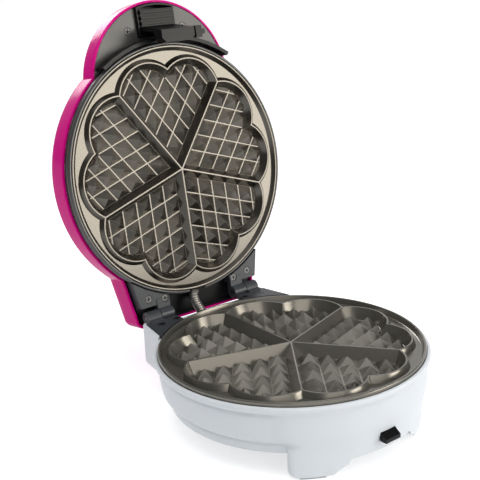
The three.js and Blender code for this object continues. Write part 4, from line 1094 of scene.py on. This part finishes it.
def pale_stage():
    """A pale floor that the camera and mirrors see a little brighter than it is lit."""
    s = FLOOR_HALF
    mesh = bpy.data.meshes.new("floor")
    mesh.from_pydata([(-s, -s, 0), (s, -s, 0), (s, s, 0), (-s, s, 0)], [], [(0, 1, 2, 3)])
    floor = added("floor", mesh)
    n = Nodes("floor")
    n.set(Base_Color=FLOOR_COLOR, Roughness=0.8)
    glow = n.node("ShaderNodeEmission", Color=PURE_WHITE, Strength=FLOOR_GLOW)
    both = n.node("ShaderNodeAddShader")
    n.link(n.shader.outputs[0], both.inputs[0])
    n.link(glow.outputs[0], both.inputs[1])
    ray = n.node("ShaderNodeLightPath").outputs
    seen = n.highest(ray["Is Camera Ray"], ray["Is Glossy Ray"], ray["Is Transmission Ray"])
    surface = n.mixed(seen, n.shader.outputs[0], both.outputs[0])
    n.link(surface, n.tree.nodes["Material Output"].inputs["Surface"])
    mesh.materials.append(n.material)


def studio_world():
    """Plain light on surfaces, a partly dark room in mirrors and glass, white for the camera."""
    studio = bpy.data.worlds.new("studio")
    bpy.context.scene.world = studio
    studio.use_nodes = True
    t = Tree(studio.node_tree)
    room = t.tree.nodes["Background"]
    room.inputs["Color"].default_value = ROOM_COLOR
    room.inputs["Strength"].default_value = 1.0
    backdrop = t.node("ShaderNodeBackground", Color=PURE_WHITE)
    mirrored = t.node("ShaderNodeBackground", Color=PURE_WHITE)
    direction = t.node("ShaderNodeTexCoord").outputs["Generated"]
    strengths = []
    for axis, start, end, strength in MIRROR_ROOM:
        facing = t.node("ShaderNodeVectorMath", operation="DOT_PRODUCT")
        facing.inputs[1].default_value = axis
        t.link(direction, facing.inputs[0])
        cosine = facing.outputs["Value"]
        strengths.append(
            t.span(cosine, DARK_ROOM, strength, start, end, interpolation_type="SMOOTHSTEP")
        )
    t.link(t.highest(*strengths), mirrored.inputs["Strength"])
    ray = t.node("ShaderNodeLightPath").outputs
    in_mirror = t.highest(ray["Is Glossy Ray"], ray["Is Transmission Ray"])
    around = t.mixed(in_mirror, room.outputs[0], mirrored.outputs[0])
    surface = t.mixed(ray["Is Camera Ray"], around, backdrop.outputs[0])
    t.link(surface, t.tree.nodes["World Output"].inputs["Surface"])


def area(name, size, power, place, aim, color=(1, 1, 1), gloss_only=False, diffuse_only=False):
    """A soft rectangular lamp that can be left out of either kind of light."""
    data = bpy.data.lights.new(name, "AREA")
    data.shape = "RECTANGLE"
    data.size, data.size_y = size
    data.energy = power
    data.color = color
    light = added(name, data)
    light.location = place
    light.rotation_euler = (Vector(aim) - Vector(place)).to_track_quat("-Z", "Y").to_euler()
    light.visible_diffuse = not gloss_only
    light.visible_glossy = not diffuse_only


pale_stage()
studio_world()
area(
    "mirror_panel", size=(0.9, 0.95), power=23, place=(1.0, -1.45, 0.34), aim=(0, 0.05, 0.2),
    color=(1, 0.96, 0.88), gloss_only=True,
)
area(
    "front_panel", size=(1.2, 1.0), power=12, place=(0.9, -1.5, 0.7), aim=(0, 0, 0.1),
    diffuse_only=True,
)
area(
    "front_softbox", size=(1.5, 0.7), power=7, place=(-0.45, -1.45, 0.95), aim=(0, 0, 0.05),
    color=(1, 0.97, 0.9), gloss_only=True,
)
area(
    "top_panel", size=(1.4, 1.0), power=10, place=(-0.3, -0.4, 1.6), aim=(0, 0, 0.05),
    diffuse_only=True,
)
area(
    "back_panel", size=(0.9, 0.5), power=12, place=(0.3, 1.6, 0.95), aim=(0, 0.1, 0.2),
    gloss_only=True,
)

scene = bpy.context.scene
scene.view_settings.view_transform = "Standard"
